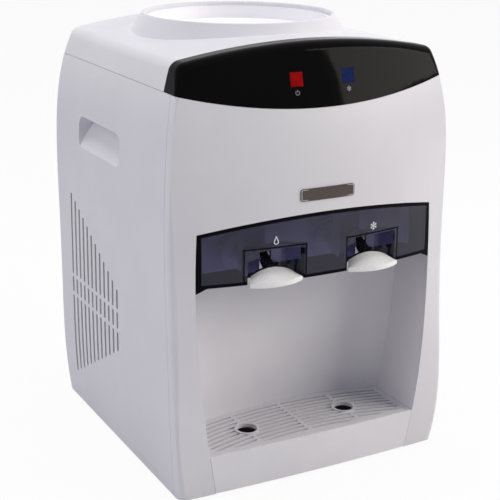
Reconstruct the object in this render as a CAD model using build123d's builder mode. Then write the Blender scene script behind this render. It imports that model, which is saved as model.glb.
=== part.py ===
"""Countertop water dispenser with two lever taps, built piece by piece.

Millimetres, +Z up, front towards -Y. The origin is on the surface that the feet stand on, in the
middle of the four feet. Left and right are the viewer's, facing the front.
"""
import os
from math import cos, radians, sin, sqrt, tan

from build123d import *

os.makedirs("parts", exist_ok=True)

# Heights, each above the one before
FOOT_REACH = 3.0            # rubber feet below the walls
DECK_HEIGHT = 40.4          # walls' lower edge to the drip grille's top
BELLY_HEIGHT = 90.0         # grille to the level where the body is widest
CUP_HEIGHT = 165.8          # grille to the tap cover's lower edge
COVER_HEIGHT = 50.0         # tap cover's lower edge to the spring of its arch
BROW_HEIGHT = 121.8         # spring of the arch to the parting line of the top cover
HOOD_HEIGHT = 40.0          # parting line to the crown's ridge

# Body plan at five levels: half width, front corner, bow of the front, back wall, edge radii
BASE_HALF_WIDTH = 145.0
BELLY_HALF_WIDTH = 150.0
CHEST_HALF_WIDTH = 149.4
SHOULDER_HALF_WIDTH = 139.6
CROWN_HALF_WIDTH = 127.0
BASE_FRONT = 151.5
BELLY_FRONT = 148.0
CHEST_FRONT = 140.0
SHOULDER_FRONT = 133.6
CROWN_FRONT = 123.0
BASE_BOW = 4.0
BELLY_BOW = 12.0
CHEST_BOW = 22.0
SHOULDER_BOW = 13.4
CROWN_BOW = 12.0
BASE_BACK = 137.0
BELLY_BACK = 143.4
CHEST_BACK = 149.0
SHOULDER_BACK = 143.4
CROWN_BACK = 133.0
BASE_EDGE = 9.0
BELLY_EDGE = 7.0
CHEST_EDGE = 4.5
SHOULDER_EDGE = 4.5
CROWN_EDGE = 24.0
BACK_BOW = 3.0
BACK_EDGE = 8.0
CROWN_BACK_EDGE = 24.0
CROWN_DROP = 13.0           # fall of the crown from its ridge to the sides
CROWN_ROUND = 11.5          # rounding of the crown's rim
SHARPEST_EDGE = 1.0         # smallest inner corner radius

# Walls, seams and fits
WALL = 3.0
SEAM = 0.4                  # gap between neighbouring panels
FIT = 0.3                   # gap round a piece that drops or slides in
RUNNING = 0.05              # radial gap of a pin or shaft in its hole
BITE = 1.0                  # how far joined features of one moulding run into each other
FAR = 400.0                 # longer than the body, for cuts that run right through
FRONT_SEAM = 10.5           # side seam behind the front corner
REAR_HALF_WIDTH = 104.0     # half width of the rear panel

# Control panel and its indicators
PANEL_DIP = 17.3            # fall of the panel's lower edge from the corners to the middle
HOOD_LINE = 110.0           # panel's rear edge at the sides, ahead of the middle
HOOD_BOW = 5.5
LENS_X = 27.0
LENS_SIZE = 12.5
LENS_ABOVE_PARTING = 8.6
LENS_DEPTH = 9.0
BOARD_LENGTH = 96.0
BOARD_HEIGHT = 16.0
BOARD_THICKNESS = 1.6
PANEL_POST_X = 42.0
PANEL_POST_RADIUS = 2.5
BADGE_LENGTH = 57.0
BADGE_HEIGHT = 11.3
BADGE_ROUND = 2.5
BADGE_THICKNESS = 0.9
BADGE_ABOVE_ARCH = 17.0

# Alcove, as an arched opening with a rear wall that is an arc in plan
OPENING_FOOT_HALF = 108.0
OPENING_MID_HALF = 125.0
OPENING_TOP_HALF = 126.0
ARCH_RISE = 11.0
ALCOVE_BACK = 74.0          # rear wall at mid width, ahead of the middle
ALCOVE_SIDE_BACK = 91.0     # rear wall at the sides
ALCOVE_SIDE_HALF = 115.0
LINER_WALL = 2.5

# Tap cover
COVER_WALL = 3.0
COVER_DEPTH = 44.0          # how far it reaches behind the front at mid width
COVER_TOE = 4.7             # drop of the lower edge at its ends
COVER_TOE_LENGTH = 9.0
NOTCH_HALF = 30.0
NOTCH_HEIGHT = 32.0
NOTCH_ROUND = 3.0
TUNNEL_END_HALF = 20.0
TUNNEL_END_HEIGHT = 27.0
TUNNEL_END = 140.0          # tunnel's closed rear end, ahead of the middle
LEVER_SLOT_HALF = 6.0       # slot in the tunnel's rear wall for the lever's arm
LEVER_SLOT_TOP = 23.0       # slot's top above the tap cover's lower edge

# Taps
TAP_X = 52.5
TAP_ABOVE_COVER_FOOT = 6.0  # waterway's axis above the tap cover's lower edge
VALVE_Y = -112.0
PAD_RADIUS = 20.0
PAD_FRONT = 82.0
PAD_BACK = 69.0
WASHER_RADIUS = 16.0
WASHER_THICKNESS = 2.0
FLANGE_RADIUS = 18.0
FLANGE_THICKNESS = 4.0
SHANK_RADIUS = 7.8
SHANK_END = 48.0
WATERWAY_RADIUS = 4.0
BARREL_RADIUS = 9.5
NUT_FLATS = 24.0
NUT_THICKNESS = 7.0
CHAMBER_RADIUS = 13.0
CHAMBER_BORE = 10.0
CHAMBER_BELOW = 8.0         # chamber's lower end below the waterway's axis
CHAMBER_ABOVE = 26.0
CHAMBER_FLOOR = 2.5
SPOUT_RADIUS = 7.0
SPOUT_LENGTH = 12.0
BONNET_PLUG = 3.0
BONNET_RIM = 2.0
BONNET_HEIGHT = 16.0
BONNET_WALL = 3.0
PLUNGER_DISC = 3.5
PLUNGER_STEM = 5.0
PLUNGER_COLLAR = 7.0
PLUNGER_COLLAR_HEIGHT = 2.0
SPRING_COIL_RADIUS = 5.0
SPRING_WIRE = 0.5
SPRING_TURNS = 4.0

# Lever: pivot ahead of the valve, a tongue into the plunger and a hooded paddle in front
PIVOT_AHEAD = 18.0
PIVOT_RISE = 16.0           # pivot above the waterway's axis
LEVER_PRESS = 12.0          # degrees the paddle goes down
PIN_RADIUS = 2.0
HUB_RADIUS = 4.5
HUB_HALF = 4.5
EAR_GAP = 0.5
EAR_THICKNESS = 3.0
EAR_RADIUS = 5.0
TONGUE_HALF = 3.0
TONGUE_THICKNESS = 2.0
TONGUE_TIP = 1.9
PADDLE_HALF = 27.5
PADDLE_SIDE = 162.0         # paddle's side corners, ahead of the middle
PADDLE_TIP = 170.0
PADDLE_REAR = 150.0
PADDLE_REAR_HALF = 20.0
PADDLE_RIM = 3.5            # height of the paddle's rim
PADDLE_REAR_RISE = 10.5     # arch above the rim at the rear
PADDLE_TIP_RISE = 0.8       # arch above the rim at the tip
PADDLE_DROP = 1.5           # rim's lower edge below the tap cover's lower edge
PADDLE_WALL = 2.2

# Drip tray and grille
TRAY_LIFT = 0.5             # fascia's lower edge above the walls' lower edge
TRAY_WALL = 2.2
GRILLE_THICKNESS = 3.0
GRILLE_LEDGE = 2.2
GRILLE_MARGIN = 5.0
SLOT_WIDTH = 2.8
SLOT_PITCH = 6.7
SLOT_COUNT = 11
RIB_WIDTH = 4.0
DRAIN_X = 56.0
DRAIN_Y = -117.5
DRAIN_RADIUS = 10.0
DRAIN_RIM = 2.4
DRAIN_RIM_HEIGHT = 1.0

# Side panels: hand recess and ventilation slots
RECESS_LENGTH = 105.0
RECESS_HEIGHT = 33.0
RECESS_DEPTH = 24.0
RECESS_ROUND = 10.0
RECESS_WALL = 2.5
RECESS_Y = 27.0
RECESS_BELOW_PARTING = 71.0
VENT_COUNT = 12
VENT_PITCH = 11.0
VENT_WIDTH = 4.0
VENT_REAR_Y = 102.0
VENT_REAR_LOW = 34.0        # slot ends above the walls' lower edge, at the rear and the front
VENT_REAR_HIGH = 236.5
VENT_FRONT_LOW = 103.0
VENT_FRONT_HIGH = 168.0
VENT_BAR_LOW = 125.0
VENT_BAR_HIGH = 146.0
VENT_BAR = 4.0

# Base, feet and inner frame
BASE_THICKNESS = 4.0
FOOT_X = 116.0
FOOT_Y = 108.0
FOOT_RADIUS = 11.0
FOOT_STEM = 4.0
SHEET = 1.5
FRAME_HALF_WIDTH = 98.0
FRAME_FRONT = -62.0
FRAME_BACK = 92.0
FRAME_FOOT = 14.0
TANK_SHELF_ABOVE_ARCH = 15.0

# Top collar and bottle seat
COLLAR_Y = 15.6
COLLAR_FOOT_RADIUS = 103.5
COLLAR_RIM_RADIUS = 95.8
COLLAR_HEIGHT = 9.4         # rim above the crown's ridge
COLLAR_LEAN_HEIGHT = 12.4   # height over which the outside leans from foot to rim
COLLAR_BORE = 92.0
COLLAR_RIM_ROUND = 1.4
LEDGE_RADIUS = 83.0
LEDGE_DROP = 12.0           # ledge below the crown's ridge
LEDGE_THICKNESS = 4.0
GASKET_THICKNESS = 2.0
SEAT_WALL = 2.6
SEAT_LIP = 15.0             # seat's upright wall
SEAT_SHOULDER = 5.0
NECK_RADIUS = 33.0
NECK_DROP = 20.0            # neck's upper end below the ledge
NECK_LENGTH = 37.0

# Tank, insulation and thermoelectric cooler
TANK_RADIUS = 66.0
TANK_WALL = 1.5
TANK_HEIGHT = 74.0
JACKET_WALL = 16.0
LID_THICKNESS = 3.0
LID_OVERLAP = 6.0
BAFFLE_THICKNESS = 2.0
BAFFLE_RISE = 42.0
NOZZLE_RADIUS = 5.5
NOZZLE_BORE = 3.5
NOZZLE_BELOW_SHELF = 6.0
NOZZLE_Y = 0.0
DRAIN_NOZZLE_Y = 60.0
HOSE_BEND = 28.0
COOLER_HALF = 25.0
COOLER_PAD = 2.0            # flat pad's stand-off from the tank wall
COOLER_RISE = 34.0          # cooler's axis above the tank's floor
COLD_BLOCK = 14.0
MODULE_HALF = 20.0
MODULE_THICKNESS = 4.0
SINK_HALF = 40.0
SINK_BASE = 6.0
FIN_COUNT = 13
FIN_THICKNESS = 1.6
FIN_HEIGHT = 16.0
FAN_DEPTH = 18.0
FAN_BORE = 36.0
FAN_HUB = 13.0
FAN_BLADE_COUNT = 7
FAN_BLADE_THICKNESS = 1.6
FAN_BLADE_PITCH = 35.0
FAN_TIP_GAP = 1.5
FAN_SHAFT = 2.0
FAN_SPIDER = 3.0
FAN_HOLE_RADIUS = 2.2
FAN_HOLE_INSET = 4.5

# Rear services: a flat pad with the switch, the lead's gland and the drain
SERVICE_ABOVE_BASE = 47.0
SERVICE_HALF_HEIGHT = 22.0
SERVICE_HALF_WIDTH = 92.0
SERVICE_STAND = 1.0
SWITCH_X = 62.0
SWITCH_HALF = 6.0           # rocker's half width
ROCKER_RADIUS = 9.6
ROCKER_FACE = 3.4           # rocker's faces from its pivot
ROCKER_TILT = 8.0           # degrees each way
ROCKER_PIN = 1.2
SWITCH_WALL = 1.6
SWITCH_FLANGE = 3.0
SWITCH_FLANGE_THICKNESS = 2.0
SWITCH_DEPTH = 14.0
GLAND_X = -62.0
GLAND_RADIUS = 6.5
GLAND_FLANGE = 9.5
GLAND_BORE = 3.6
GLAND_THICKNESS = 2.5
DRAIN_PIPE = 6.0
DRAIN_FLANGE = 11.0
DRAIN_STUB = 9.0
DRAIN_CAP_RADIUS = 10.5
DRAIN_CAP_HEIGHT = 13.0
REAR_SLOT_COUNT = 9
REAR_SLOT_PITCH = 8.0
REAR_SLOT_WIDTH = 4.0
REAR_SLOT_LENGTH = 70.0
LOWER_SLOT_ABOVE_BASE = 120.0
LOWER_SLOT_COUNT = 6
LOWER_SLOT_LENGTH = 120.0

# Control electronics and fasteners
SUPPLY_X = -54.0
SUPPLY_Y = 48.0
SUPPLY_LENGTH = 76.0
SUPPLY_WIDTH = 58.0
STANDOFF_RADIUS = 3.5
STANDOFF_HEIGHT = 7.0
STANDOFF_INSET = 5.0
SCREW_RADIUS = 1.7
SCREW_HEAD_RADIUS = 3.4
SCREW_HEAD_HEIGHT = 2.0
SCREW_LENGTH = 9.0
SCREW_GAP = 0.2
REAR_SCREW_INSET = 8.0

# Levels and places worked out from the sizes above
BASE_Z = FOOT_REACH
BASE_TOP = BASE_Z + BASE_THICKNESS
DECK_Z = BASE_Z + DECK_HEIGHT
BELLY_Z = DECK_Z + BELLY_HEIGHT
COVER_FOOT_Z = DECK_Z + CUP_HEIGHT
ARCH_SPRING_Z = COVER_FOOT_Z + COVER_HEIGHT
ARCH_TOP_Z = ARCH_SPRING_Z + ARCH_RISE
PARTING_Z = ARCH_SPRING_Z + BROW_HEIGHT
CROWN_Z = PARTING_Z + HOOD_HEIGHT
LEVELS = [
    (BASE_Z, BASE_HALF_WIDTH, BASE_FRONT, BASE_BOW, BASE_BACK, BASE_EDGE, BACK_EDGE),
    (BELLY_Z, BELLY_HALF_WIDTH, BELLY_FRONT, BELLY_BOW, BELLY_BACK, BELLY_EDGE, BACK_EDGE),
    (ARCH_SPRING_Z, CHEST_HALF_WIDTH, CHEST_FRONT, CHEST_BOW, CHEST_BACK, CHEST_EDGE, BACK_EDGE),
    (PARTING_Z, SHOULDER_HALF_WIDTH, SHOULDER_FRONT, SHOULDER_BOW, SHOULDER_BACK, SHOULDER_EDGE, BACK_EDGE),
    (CROWN_Z + WALL, CROWN_HALF_WIDTH, CROWN_FRONT, CROWN_BOW, CROWN_BACK, CROWN_EDGE, CROWN_BACK_EDGE),
]
TAP_Z = COVER_FOOT_Z + TAP_ABOVE_COVER_FOOT
PIVOT_Y = VALVE_Y - PIVOT_AHEAD
PIVOT_Z = TAP_Z + PIVOT_RISE
SHELF_Z = ARCH_TOP_Z + TANK_SHELF_ABOVE_ARCH - SHEET
SHELF_TOP = SHELF_Z + SHEET
TANK_FLOOR = SHELF_TOP + JACKET_WALL
TANK_TOP = TANK_FLOOR + TANK_HEIGHT
NOZZLE_END = SHELF_Z - NOZZLE_BELOW_SHELF
COOLER_Z = TANK_FLOOR + COOLER_RISE
PAD_PLANE = COLLAR_Y + TANK_RADIUS + COOLER_PAD
BLOCK_PLANE = PAD_PLANE + COLD_BLOCK
MODULE_PLANE = BLOCK_PLANE + MODULE_THICKNESS
FIN_ROOT = MODULE_PLANE + SINK_BASE
FIN_END = FIN_ROOT + FIN_HEIGHT
FAN_BACK = FIN_END + FAN_DEPTH
LEDGE_Z = CROWN_Z - LEDGE_DROP
SERVICE_Z = BASE_TOP + SERVICE_ABOVE_BASE
SIDES = ((-1, "left"), (1, "right"))
FRONT_VIEW = Plane.XZ.offset(-FAR)      # behind the body; a cut from it runs right through
SIDE_VIEW = Plane.YZ.offset(-FAR)
PLAN_VIEW = Plane.XY.offset(-FAR)
THROUGH = 2 * FAR


def save(piece, name):
    """Label a finished piece and write it."""
    piece.label = name
    export_step(piece, f"parts/{name}.step")


def arc_radius(half_chord, rise):
    """Radius of the arc that rises by rise over a chord of twice half_chord."""
    return (half_chord**2 + rise**2) / (2 * rise)


def facing(y):
    """Front-view plane at depth y; what is extruded from it runs forward, towards -Y."""
    return Plane.XZ.offset(-y)


def wall_section(level, inset):
    """The body's plan at one level, drawn in by inset all round."""
    z, half_width, front, bow, back, edge, back_edge = level
    half_width -= inset
    front -= inset
    back -= inset
    with BuildSketch(Plane.XY.offset(z)) as plan:
        with BuildLine():
            ThreePointArc((-half_width, -front), (0, -front - bow), (half_width, -front))
            Line((half_width, -front), (half_width, back))
            ThreePointArc((half_width, back), (0, back + BACK_BOW), (-half_width, back))
            Line((-half_width, back), (-half_width, -front))
        make_face()
        fillet(plan.vertices().group_by(Axis.Y)[0], max(edge - inset, SHARPEST_EDGE))
        fillet(plan.vertices().group_by(Axis.Y)[-1], max(back_edge - inset, SHARPEST_EDGE))
    return plan.sketch


def wall_form(inset):
    """The body's walls without the crown, drawn in by inset."""
    with BuildPart() as form:
        loft(sections=[wall_section(level, inset) for level in LEVELS])
    return form.part


def body_form(inset):
    """The body's whole form, drawn in by inset at the walls and the crown but not at its foot."""
    radius = arc_radius(CROWN_HALF_WIDTH, CROWN_DROP)
    with BuildPart() as form:
        add(wall_form(inset))
        with BuildSketch(FRONT_VIEW):
            with Locations((0, CROWN_Z - inset - radius)):
                Circle(radius)
        extrude(amount=THROUGH, mode=Mode.INTERSECT)
        fillet(form.faces().sort_by(Axis.Z)[-1].edges(), CROWN_ROUND - inset)
    return form.part


def ahead_of_seam(behind):
    """Side view of what lies ahead of a line that follows the front corners, set back by behind."""
    line = [(behind - level[2], level[0]) for level in LEVELS]
    with BuildSketch(SIDE_VIEW) as view:
        with BuildLine():
            Spline(*line)
            Polyline(line[-1], (-FAR, line[-1][1]), (-FAR, line[0][1]), line[0])
        make_face()
    return view.sketch


def opening_view(grow):
    """Front view of the alcove's arched opening, larger by grow, and run out below the walls."""
    mid_z = (BASE_Z + ARCH_SPRING_Z) / 2
    foot = (OPENING_FOOT_HALF + grow, BASE_Z)
    mid = (OPENING_MID_HALF + grow, mid_z)
    spring = (OPENING_TOP_HALF + grow, ARCH_SPRING_Z + grow)
    with BuildSketch(Plane.XZ) as view:
        with BuildLine():
            ThreePointArc(foot, mid, spring)
            ThreePointArc(spring, (0, ARCH_TOP_Z + grow), (-spring[0], spring[1]))
            ThreePointArc((-spring[0], spring[1]), (-mid[0], mid_z), (-foot[0], BASE_Z))
            Polyline((-foot[0], BASE_Z), (-foot[0], -FAR), (foot[0], -FAR), foot)
        make_face()
    return view.sketch


def rear_wall_plan(forward):
    """Plan of what lies ahead of the alcove's rear wall, moved forward."""
    radius = arc_radius(ALCOVE_SIDE_HALF, ALCOVE_SIDE_BACK - ALCOVE_BACK)
    with BuildSketch(PLAN_VIEW) as plan:
        with Locations((0, -ALCOVE_BACK - radius)):
            Circle(radius - forward)
    return plan.sketch


def alcove_block(grow, forward, low, high):
    """Solid with the opening's front view and the rear wall's plan, between two heights."""
    with BuildPart() as block:
        extrude(opening_view(grow), amount=FAR)
        extrude(rear_wall_plan(forward), amount=2 * THROUGH, mode=Mode.INTERSECT)
        with BuildSketch(Plane.XY.offset(low)):
            Rectangle(2 * FAR, 2 * FAR)
        extrude(amount=high - low, mode=Mode.INTERSECT)
    return block.part


def panel_edge_view(shift, up):
    """Front view of all above (up 1) or below (up -1) the control panel's lower edge, shifted up."""
    radius = arc_radius(SHOULDER_HALF_WIDTH, PANEL_DIP)
    half = up * (CHEST_HALF_WIDTH + BITE)
    low = PARTING_Z - PANEL_DIP + shift
    end = low + radius - sqrt(radius**2 - half**2)
    with BuildSketch(FRONT_VIEW) as view:
        with BuildLine():
            ThreePointArc((-half, end), (0, low), (half, end))
            Polyline((half, end), (half, low + up * THROUGH), (-half, low + up * THROUGH), (-half, end))
        make_face()
    return view.sketch


def slab(low, high):
    """Everything between two heights."""
    with BuildPart() as layer:
        with BuildSketch(Plane.XY.offset(low)):
            Rectangle(2 * FAR, 2 * FAR)
        extrude(amount=high - low)
    return layer.part


outer = body_form(0)
inner = body_form(WALL)
with BuildPart() as shell:
    add(outer)
    add(inner, mode=Mode.SUBTRACT)

hood_radius = arc_radius(CROWN_HALF_WIDTH, HOOD_BOW)
hood_centre = hood_radius - HOOD_LINE - HOOD_BOW

# Front panel
with BuildPart() as front_panel:
    add(shell.part)
    extrude(panel_edge_view(-SEAM / 2, -1), amount=THROUGH, mode=Mode.INTERSECT)
    extrude(opening_view(0), amount=FAR, mode=Mode.SUBTRACT)
    extrude(ahead_of_seam(FRONT_SEAM), amount=THROUGH, mode=Mode.INTERSECT)
save(front_panel.part, "front_panel")


def vent_slots():
    """Side view of the ventilation slots, cut short on two diagonals and crossed by two bars."""
    with BuildSketch(Plane.YZ) as slots:
        for i in range(VENT_COUNT):
            share = i / (VENT_COUNT - 1)
            low = BASE_Z + VENT_REAR_LOW + share * (VENT_FRONT_LOW - VENT_REAR_LOW)
            high = BASE_Z + VENT_REAR_HIGH + share * (VENT_FRONT_HIGH - VENT_REAR_HIGH)
            with Locations((VENT_REAR_Y - i * VENT_PITCH, (low + high) / 2)):
                Rectangle(VENT_WIDTH, high - low)
        with Locations((0, BASE_Z + VENT_BAR_LOW), (0, BASE_Z + VENT_BAR_HIGH)):
            Rectangle(FAR, VENT_BAR, mode=Mode.SUBTRACT)
    return slots.sketch


def hand_recess(side, grow):
    """Scoop in a side wall: a rounded outline with a floor that slopes out to its lower edge."""
    middle = PARTING_Z - RECESS_BELOW_PARTING
    low = middle - RECESS_HEIGHT / 2 - grow
    high = middle + RECESS_HEIGHT / 2 + grow
    face = side * CHEST_HALF_WIDTH
    floor = side * (CHEST_HALF_WIDTH - RECESS_DEPTH - grow)
    with BuildPart() as scoop:
        with BuildSketch(Plane.YZ):
            with Locations((RECESS_Y, middle)):
                RectangleRounded(RECESS_LENGTH + 2 * grow, RECESS_HEIGHT + 2 * grow, RECESS_ROUND + grow)
        extrude(amount=side * FAR)
        with BuildSketch(FRONT_VIEW):
            with BuildLine():
                Polyline((side * FAR, low), (face, low), (floor, high), (side * FAR, high), close=True)
            make_face()
        extrude(amount=THROUGH, mode=Mode.INTERSECT)
    return scoop.part


def side_panel(side):
    """One side wall, wrapped round the rear corner, with its hand recess and ventilation slots."""
    with BuildPart() as panel:
        add(hand_recess(side, RECESS_WALL))
        add(inner, mode=Mode.INTERSECT)
        add(shell.part)
        with BuildSketch(Plane.XY):
            with Locations((side * FAR / 2, 0)):
                Rectangle(FAR, 2 * FAR)
            with Locations((0, FAR / 2)):
                Rectangle(2 * (REAR_HALF_WIDTH + SEAM), FAR, mode=Mode.SUBTRACT)
            with Locations((0, -FAR / 2)):
                Rectangle(2 * OPENING_FOOT_HALF, FAR, mode=Mode.SUBTRACT)
        extrude(amount=PARTING_Z - SEAM / 2, mode=Mode.INTERSECT)
        extrude(ahead_of_seam(FRONT_SEAM + SEAM), amount=THROUGH, mode=Mode.SUBTRACT)
        add(hand_recess(side, 0), mode=Mode.SUBTRACT)
        extrude(vent_slots(), amount=side * FAR, mode=Mode.SUBTRACT)
    return panel.part


for side, name in SIDES:
    save(side_panel(side), f"{name}_side_panel")

# Rear panel, with a flat pad for the services, slots behind the fan and seats for its screws
service_plane = BASE_BACK + BACK_BOW + SERVICE_STAND + (BELLY_BACK - BASE_BACK) / 2
rear_screw_spots = [
    (x, z)
    for x in (-REAR_HALF_WIDTH + REAR_SCREW_INSET, REAR_HALF_WIDTH - REAR_SCREW_INSET)
    for z in (BASE_TOP + REAR_SCREW_INSET, ARCH_SPRING_Z, PARTING_Z - 2 * REAR_SCREW_INSET)
]


def back_face(x, z):
    """Depth of the body's back at one spot, from the outer form itself."""
    ray = Axis((x, FAR, z), (0, -1, 0))
    return outer.find_intersection_points(ray)[0][0].Y


screw_seats = {spot: back_face(*spot) - SCREW_HEAD_HEIGHT for spot in rear_screw_spots}
with BuildPart() as rear_panel:
    add(shell.part)
    with BuildSketch(Plane.XY):
        with Locations((0, FAR / 2)):
            Rectangle(2 * REAR_HALF_WIDTH, FAR)
    extrude(amount=PARTING_Z - SEAM / 2, mode=Mode.INTERSECT)
    with BuildSketch(facing(service_plane)):
        with Locations((0, SERVICE_Z)):
            RectangleRounded(2 * SERVICE_HALF_WIDTH, 2 * SERVICE_HALF_HEIGHT, BADGE_ROUND)
    extrude(amount=WALL + SERVICE_STAND)
    for (x, z), seat in screw_seats.items():
        with BuildSketch(facing(seat)):
            with Locations((x, z)):
                Circle(SCREW_HEAD_RADIUS + BITE)
        extrude(amount=WALL)
        with BuildSketch(facing(seat)):
            with Locations((x, z)):
                Circle(SCREW_HEAD_RADIUS + SCREW_GAP)
        extrude(amount=-FAR, mode=Mode.SUBTRACT)
        with BuildSketch(facing(seat)):
            with Locations((x, z)):
                Circle(SCREW_RADIUS + SCREW_GAP)
        extrude(amount=FAR / 4, mode=Mode.SUBTRACT)
    with BuildSketch(Plane.XZ):
        with Locations((0, COOLER_Z)):
            with GridLocations(0, REAR_SLOT_PITCH, 1, REAR_SLOT_COUNT):
                SlotOverall(REAR_SLOT_LENGTH, REAR_SLOT_WIDTH)
        with Locations((0, BASE_TOP + LOWER_SLOT_ABOVE_BASE)):
            with GridLocations(0, REAR_SLOT_PITCH, 1, LOWER_SLOT_COUNT):
                SlotOverall(LOWER_SLOT_LENGTH, REAR_SLOT_WIDTH)
        with Locations((SWITCH_X, SERVICE_Z)):
            Rectangle(2 * (SWITCH_HALF + SWITCH_WALL + FIT), 2 * (ROCKER_RADIUS + SWITCH_WALL + 2 * FIT))
        with Locations((GLAND_X, SERVICE_Z)):
            Circle(GLAND_RADIUS + SCREW_GAP)
        with Locations((0, SERVICE_Z)):
            Circle(DRAIN_PIPE + SCREW_GAP)
    extrude(amount=-FAR, mode=Mode.SUBTRACT)
save(rear_panel.part, "rear_panel")

with BuildPart() as rear_screws:
    for (x, z), seat in screw_seats.items():
        with BuildSketch(facing(seat)):
            with Locations((x, z)):
                Circle(SCREW_HEAD_RADIUS)
        extrude(amount=-SCREW_HEAD_HEIGHT)
        with BuildSketch(facing(seat)):
            with Locations((x, z)):
                Circle(SCREW_RADIUS)
        extrude(amount=SCREW_LENGTH)
save(rear_screws.part, "rear_screws")

# Top cover: the crown behind the control panel, with the bottle collar and the ledge inside it
collar_top = CROWN_Z + COLLAR_HEIGHT
lean = (COLLAR_FOOT_RADIUS - COLLAR_RIM_RADIUS) / COLLAR_LEAN_HEIGHT
ledge_foot = LEDGE_Z - LEDGE_THICKNESS
with BuildPart() as top_cover:
    add(shell.part)
    with BuildSketch(Plane.XY.offset(PARTING_Z + SEAM / 2)):
        with Locations((0, hood_centre)):
            Circle(hood_radius - SEAM / 2)
    extrude(amount=FAR, mode=Mode.INTERSECT)
    with BuildSketch(Plane.YZ):
        with BuildLine():
            Polyline(
                (COLLAR_Y + LEDGE_RADIUS, ledge_foot),
                (COLLAR_Y + COLLAR_RIM_RADIUS + lean * (collar_top - ledge_foot), ledge_foot),
                (COLLAR_Y + COLLAR_RIM_RADIUS, collar_top),
                (COLLAR_Y + LEDGE_RADIUS, collar_top),
                close=True,
            )
        make_face()
    revolve(axis=Axis((0, COLLAR_Y, 0), (0, 0, 1)))
    with BuildSketch(Plane.XY.offset(LEDGE_Z)):
        with Locations((0, COLLAR_Y)):
            Circle(COLLAR_BORE)
    extrude(amount=FAR, mode=Mode.SUBTRACT)
    with BuildSketch(Plane.XY.offset(PARTING_Z)):
        with Locations((0, COLLAR_Y)):
            Circle(LEDGE_RADIUS)
    extrude(amount=FAR, mode=Mode.SUBTRACT)
    fillet(top_cover.faces().sort_by(Axis.Z)[-1].edges(), COLLAR_RIM_ROUND)
save(top_cover.part, "top_cover")

# Control panel, with windows for the two lenses and posts for the indicator board
lens_z = PARTING_Z + LENS_ABOVE_PARTING
lens_front = SHOULDER_FRONT + SHOULDER_BOW
board_front = -(lens_front - WALL - LENS_DEPTH)
lens_spots = [(-LENS_X, lens_z), (LENS_X, lens_z)]
post_spots = [(-PANEL_POST_X, lens_z), (PANEL_POST_X, lens_z)]
with BuildPart() as control_panel:
    with BuildSketch(facing(board_front)):
        with Locations(*post_spots):
            Circle(PANEL_POST_RADIUS)
    extrude(amount=FAR)
    add(inner, mode=Mode.INTERSECT)
    add(shell.part)
    extrude(panel_edge_view(SEAM / 2, 1), amount=THROUGH, mode=Mode.INTERSECT)
    with BuildSketch(SIDE_VIEW):
        with Locations((FRONT_SEAM - SHOULDER_FRONT, PARTING_Z + SEAM)):
            Rectangle(FAR, 2 * PANEL_DIP, align=(Align.MIN, Align.MAX))
    extrude(amount=THROUGH, mode=Mode.SUBTRACT)
    with BuildSketch(PLAN_VIEW):
        with Locations((0, hood_centre)):
            Circle(hood_radius + SEAM / 2)
    extrude(amount=2 * THROUGH, mode=Mode.SUBTRACT)
    with BuildSketch(Plane.XZ):
        with Locations(*lens_spots):
            Rectangle(LENS_SIZE + 2 * SCREW_GAP, LENS_SIZE + 2 * SCREW_GAP)
    extrude(amount=FAR, mode=Mode.SUBTRACT)
    split(bisect_by=Plane.YZ, keep=Keep.TOP)
    mirror(about=Plane.YZ)
save(control_panel.part, "control_panel")

for spot, name in zip(lens_spots, ("power_lens", "cooling_lens")):
    with BuildPart() as lens:
        with BuildSketch(facing(board_front)):
            with Locations(spot):
                Rectangle(LENS_SIZE, LENS_SIZE)
        extrude(amount=FAR)
        add(outer, mode=Mode.INTERSECT)
    save(lens.part, name)

with BuildPart() as indicator_board:
    with BuildSketch(facing(board_front + BOARD_THICKNESS)):
        with Locations((0, lens_z)):
            Rectangle(BOARD_LENGTH, BOARD_HEIGHT)
    extrude(amount=BOARD_THICKNESS)
    with BuildSketch(facing(board_front + BOARD_THICKNESS)):
        with Locations((0, lens_z)):
            Rectangle(BOARD_HEIGHT, BOARD_HEIGHT / 2)
    extrude(amount=-BOARD_THICKNESS)
save(indicator_board.part, "indicator_board")

with BuildPart() as badge_plate:
    with BuildSketch(Plane.XZ):
        with Locations((0, ARCH_TOP_Z + BADGE_ABOVE_ARCH)):
            RectangleRounded(BADGE_LENGTH, BADGE_HEIGHT, BADGE_ROUND)
    extrude(amount=FAR)
    add(wall_form(-BADGE_THICKNESS), mode=Mode.INTERSECT)
    add(wall_form(-RUNNING), mode=Mode.SUBTRACT)
save(badge_plate.part, "badge_plate")

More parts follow.
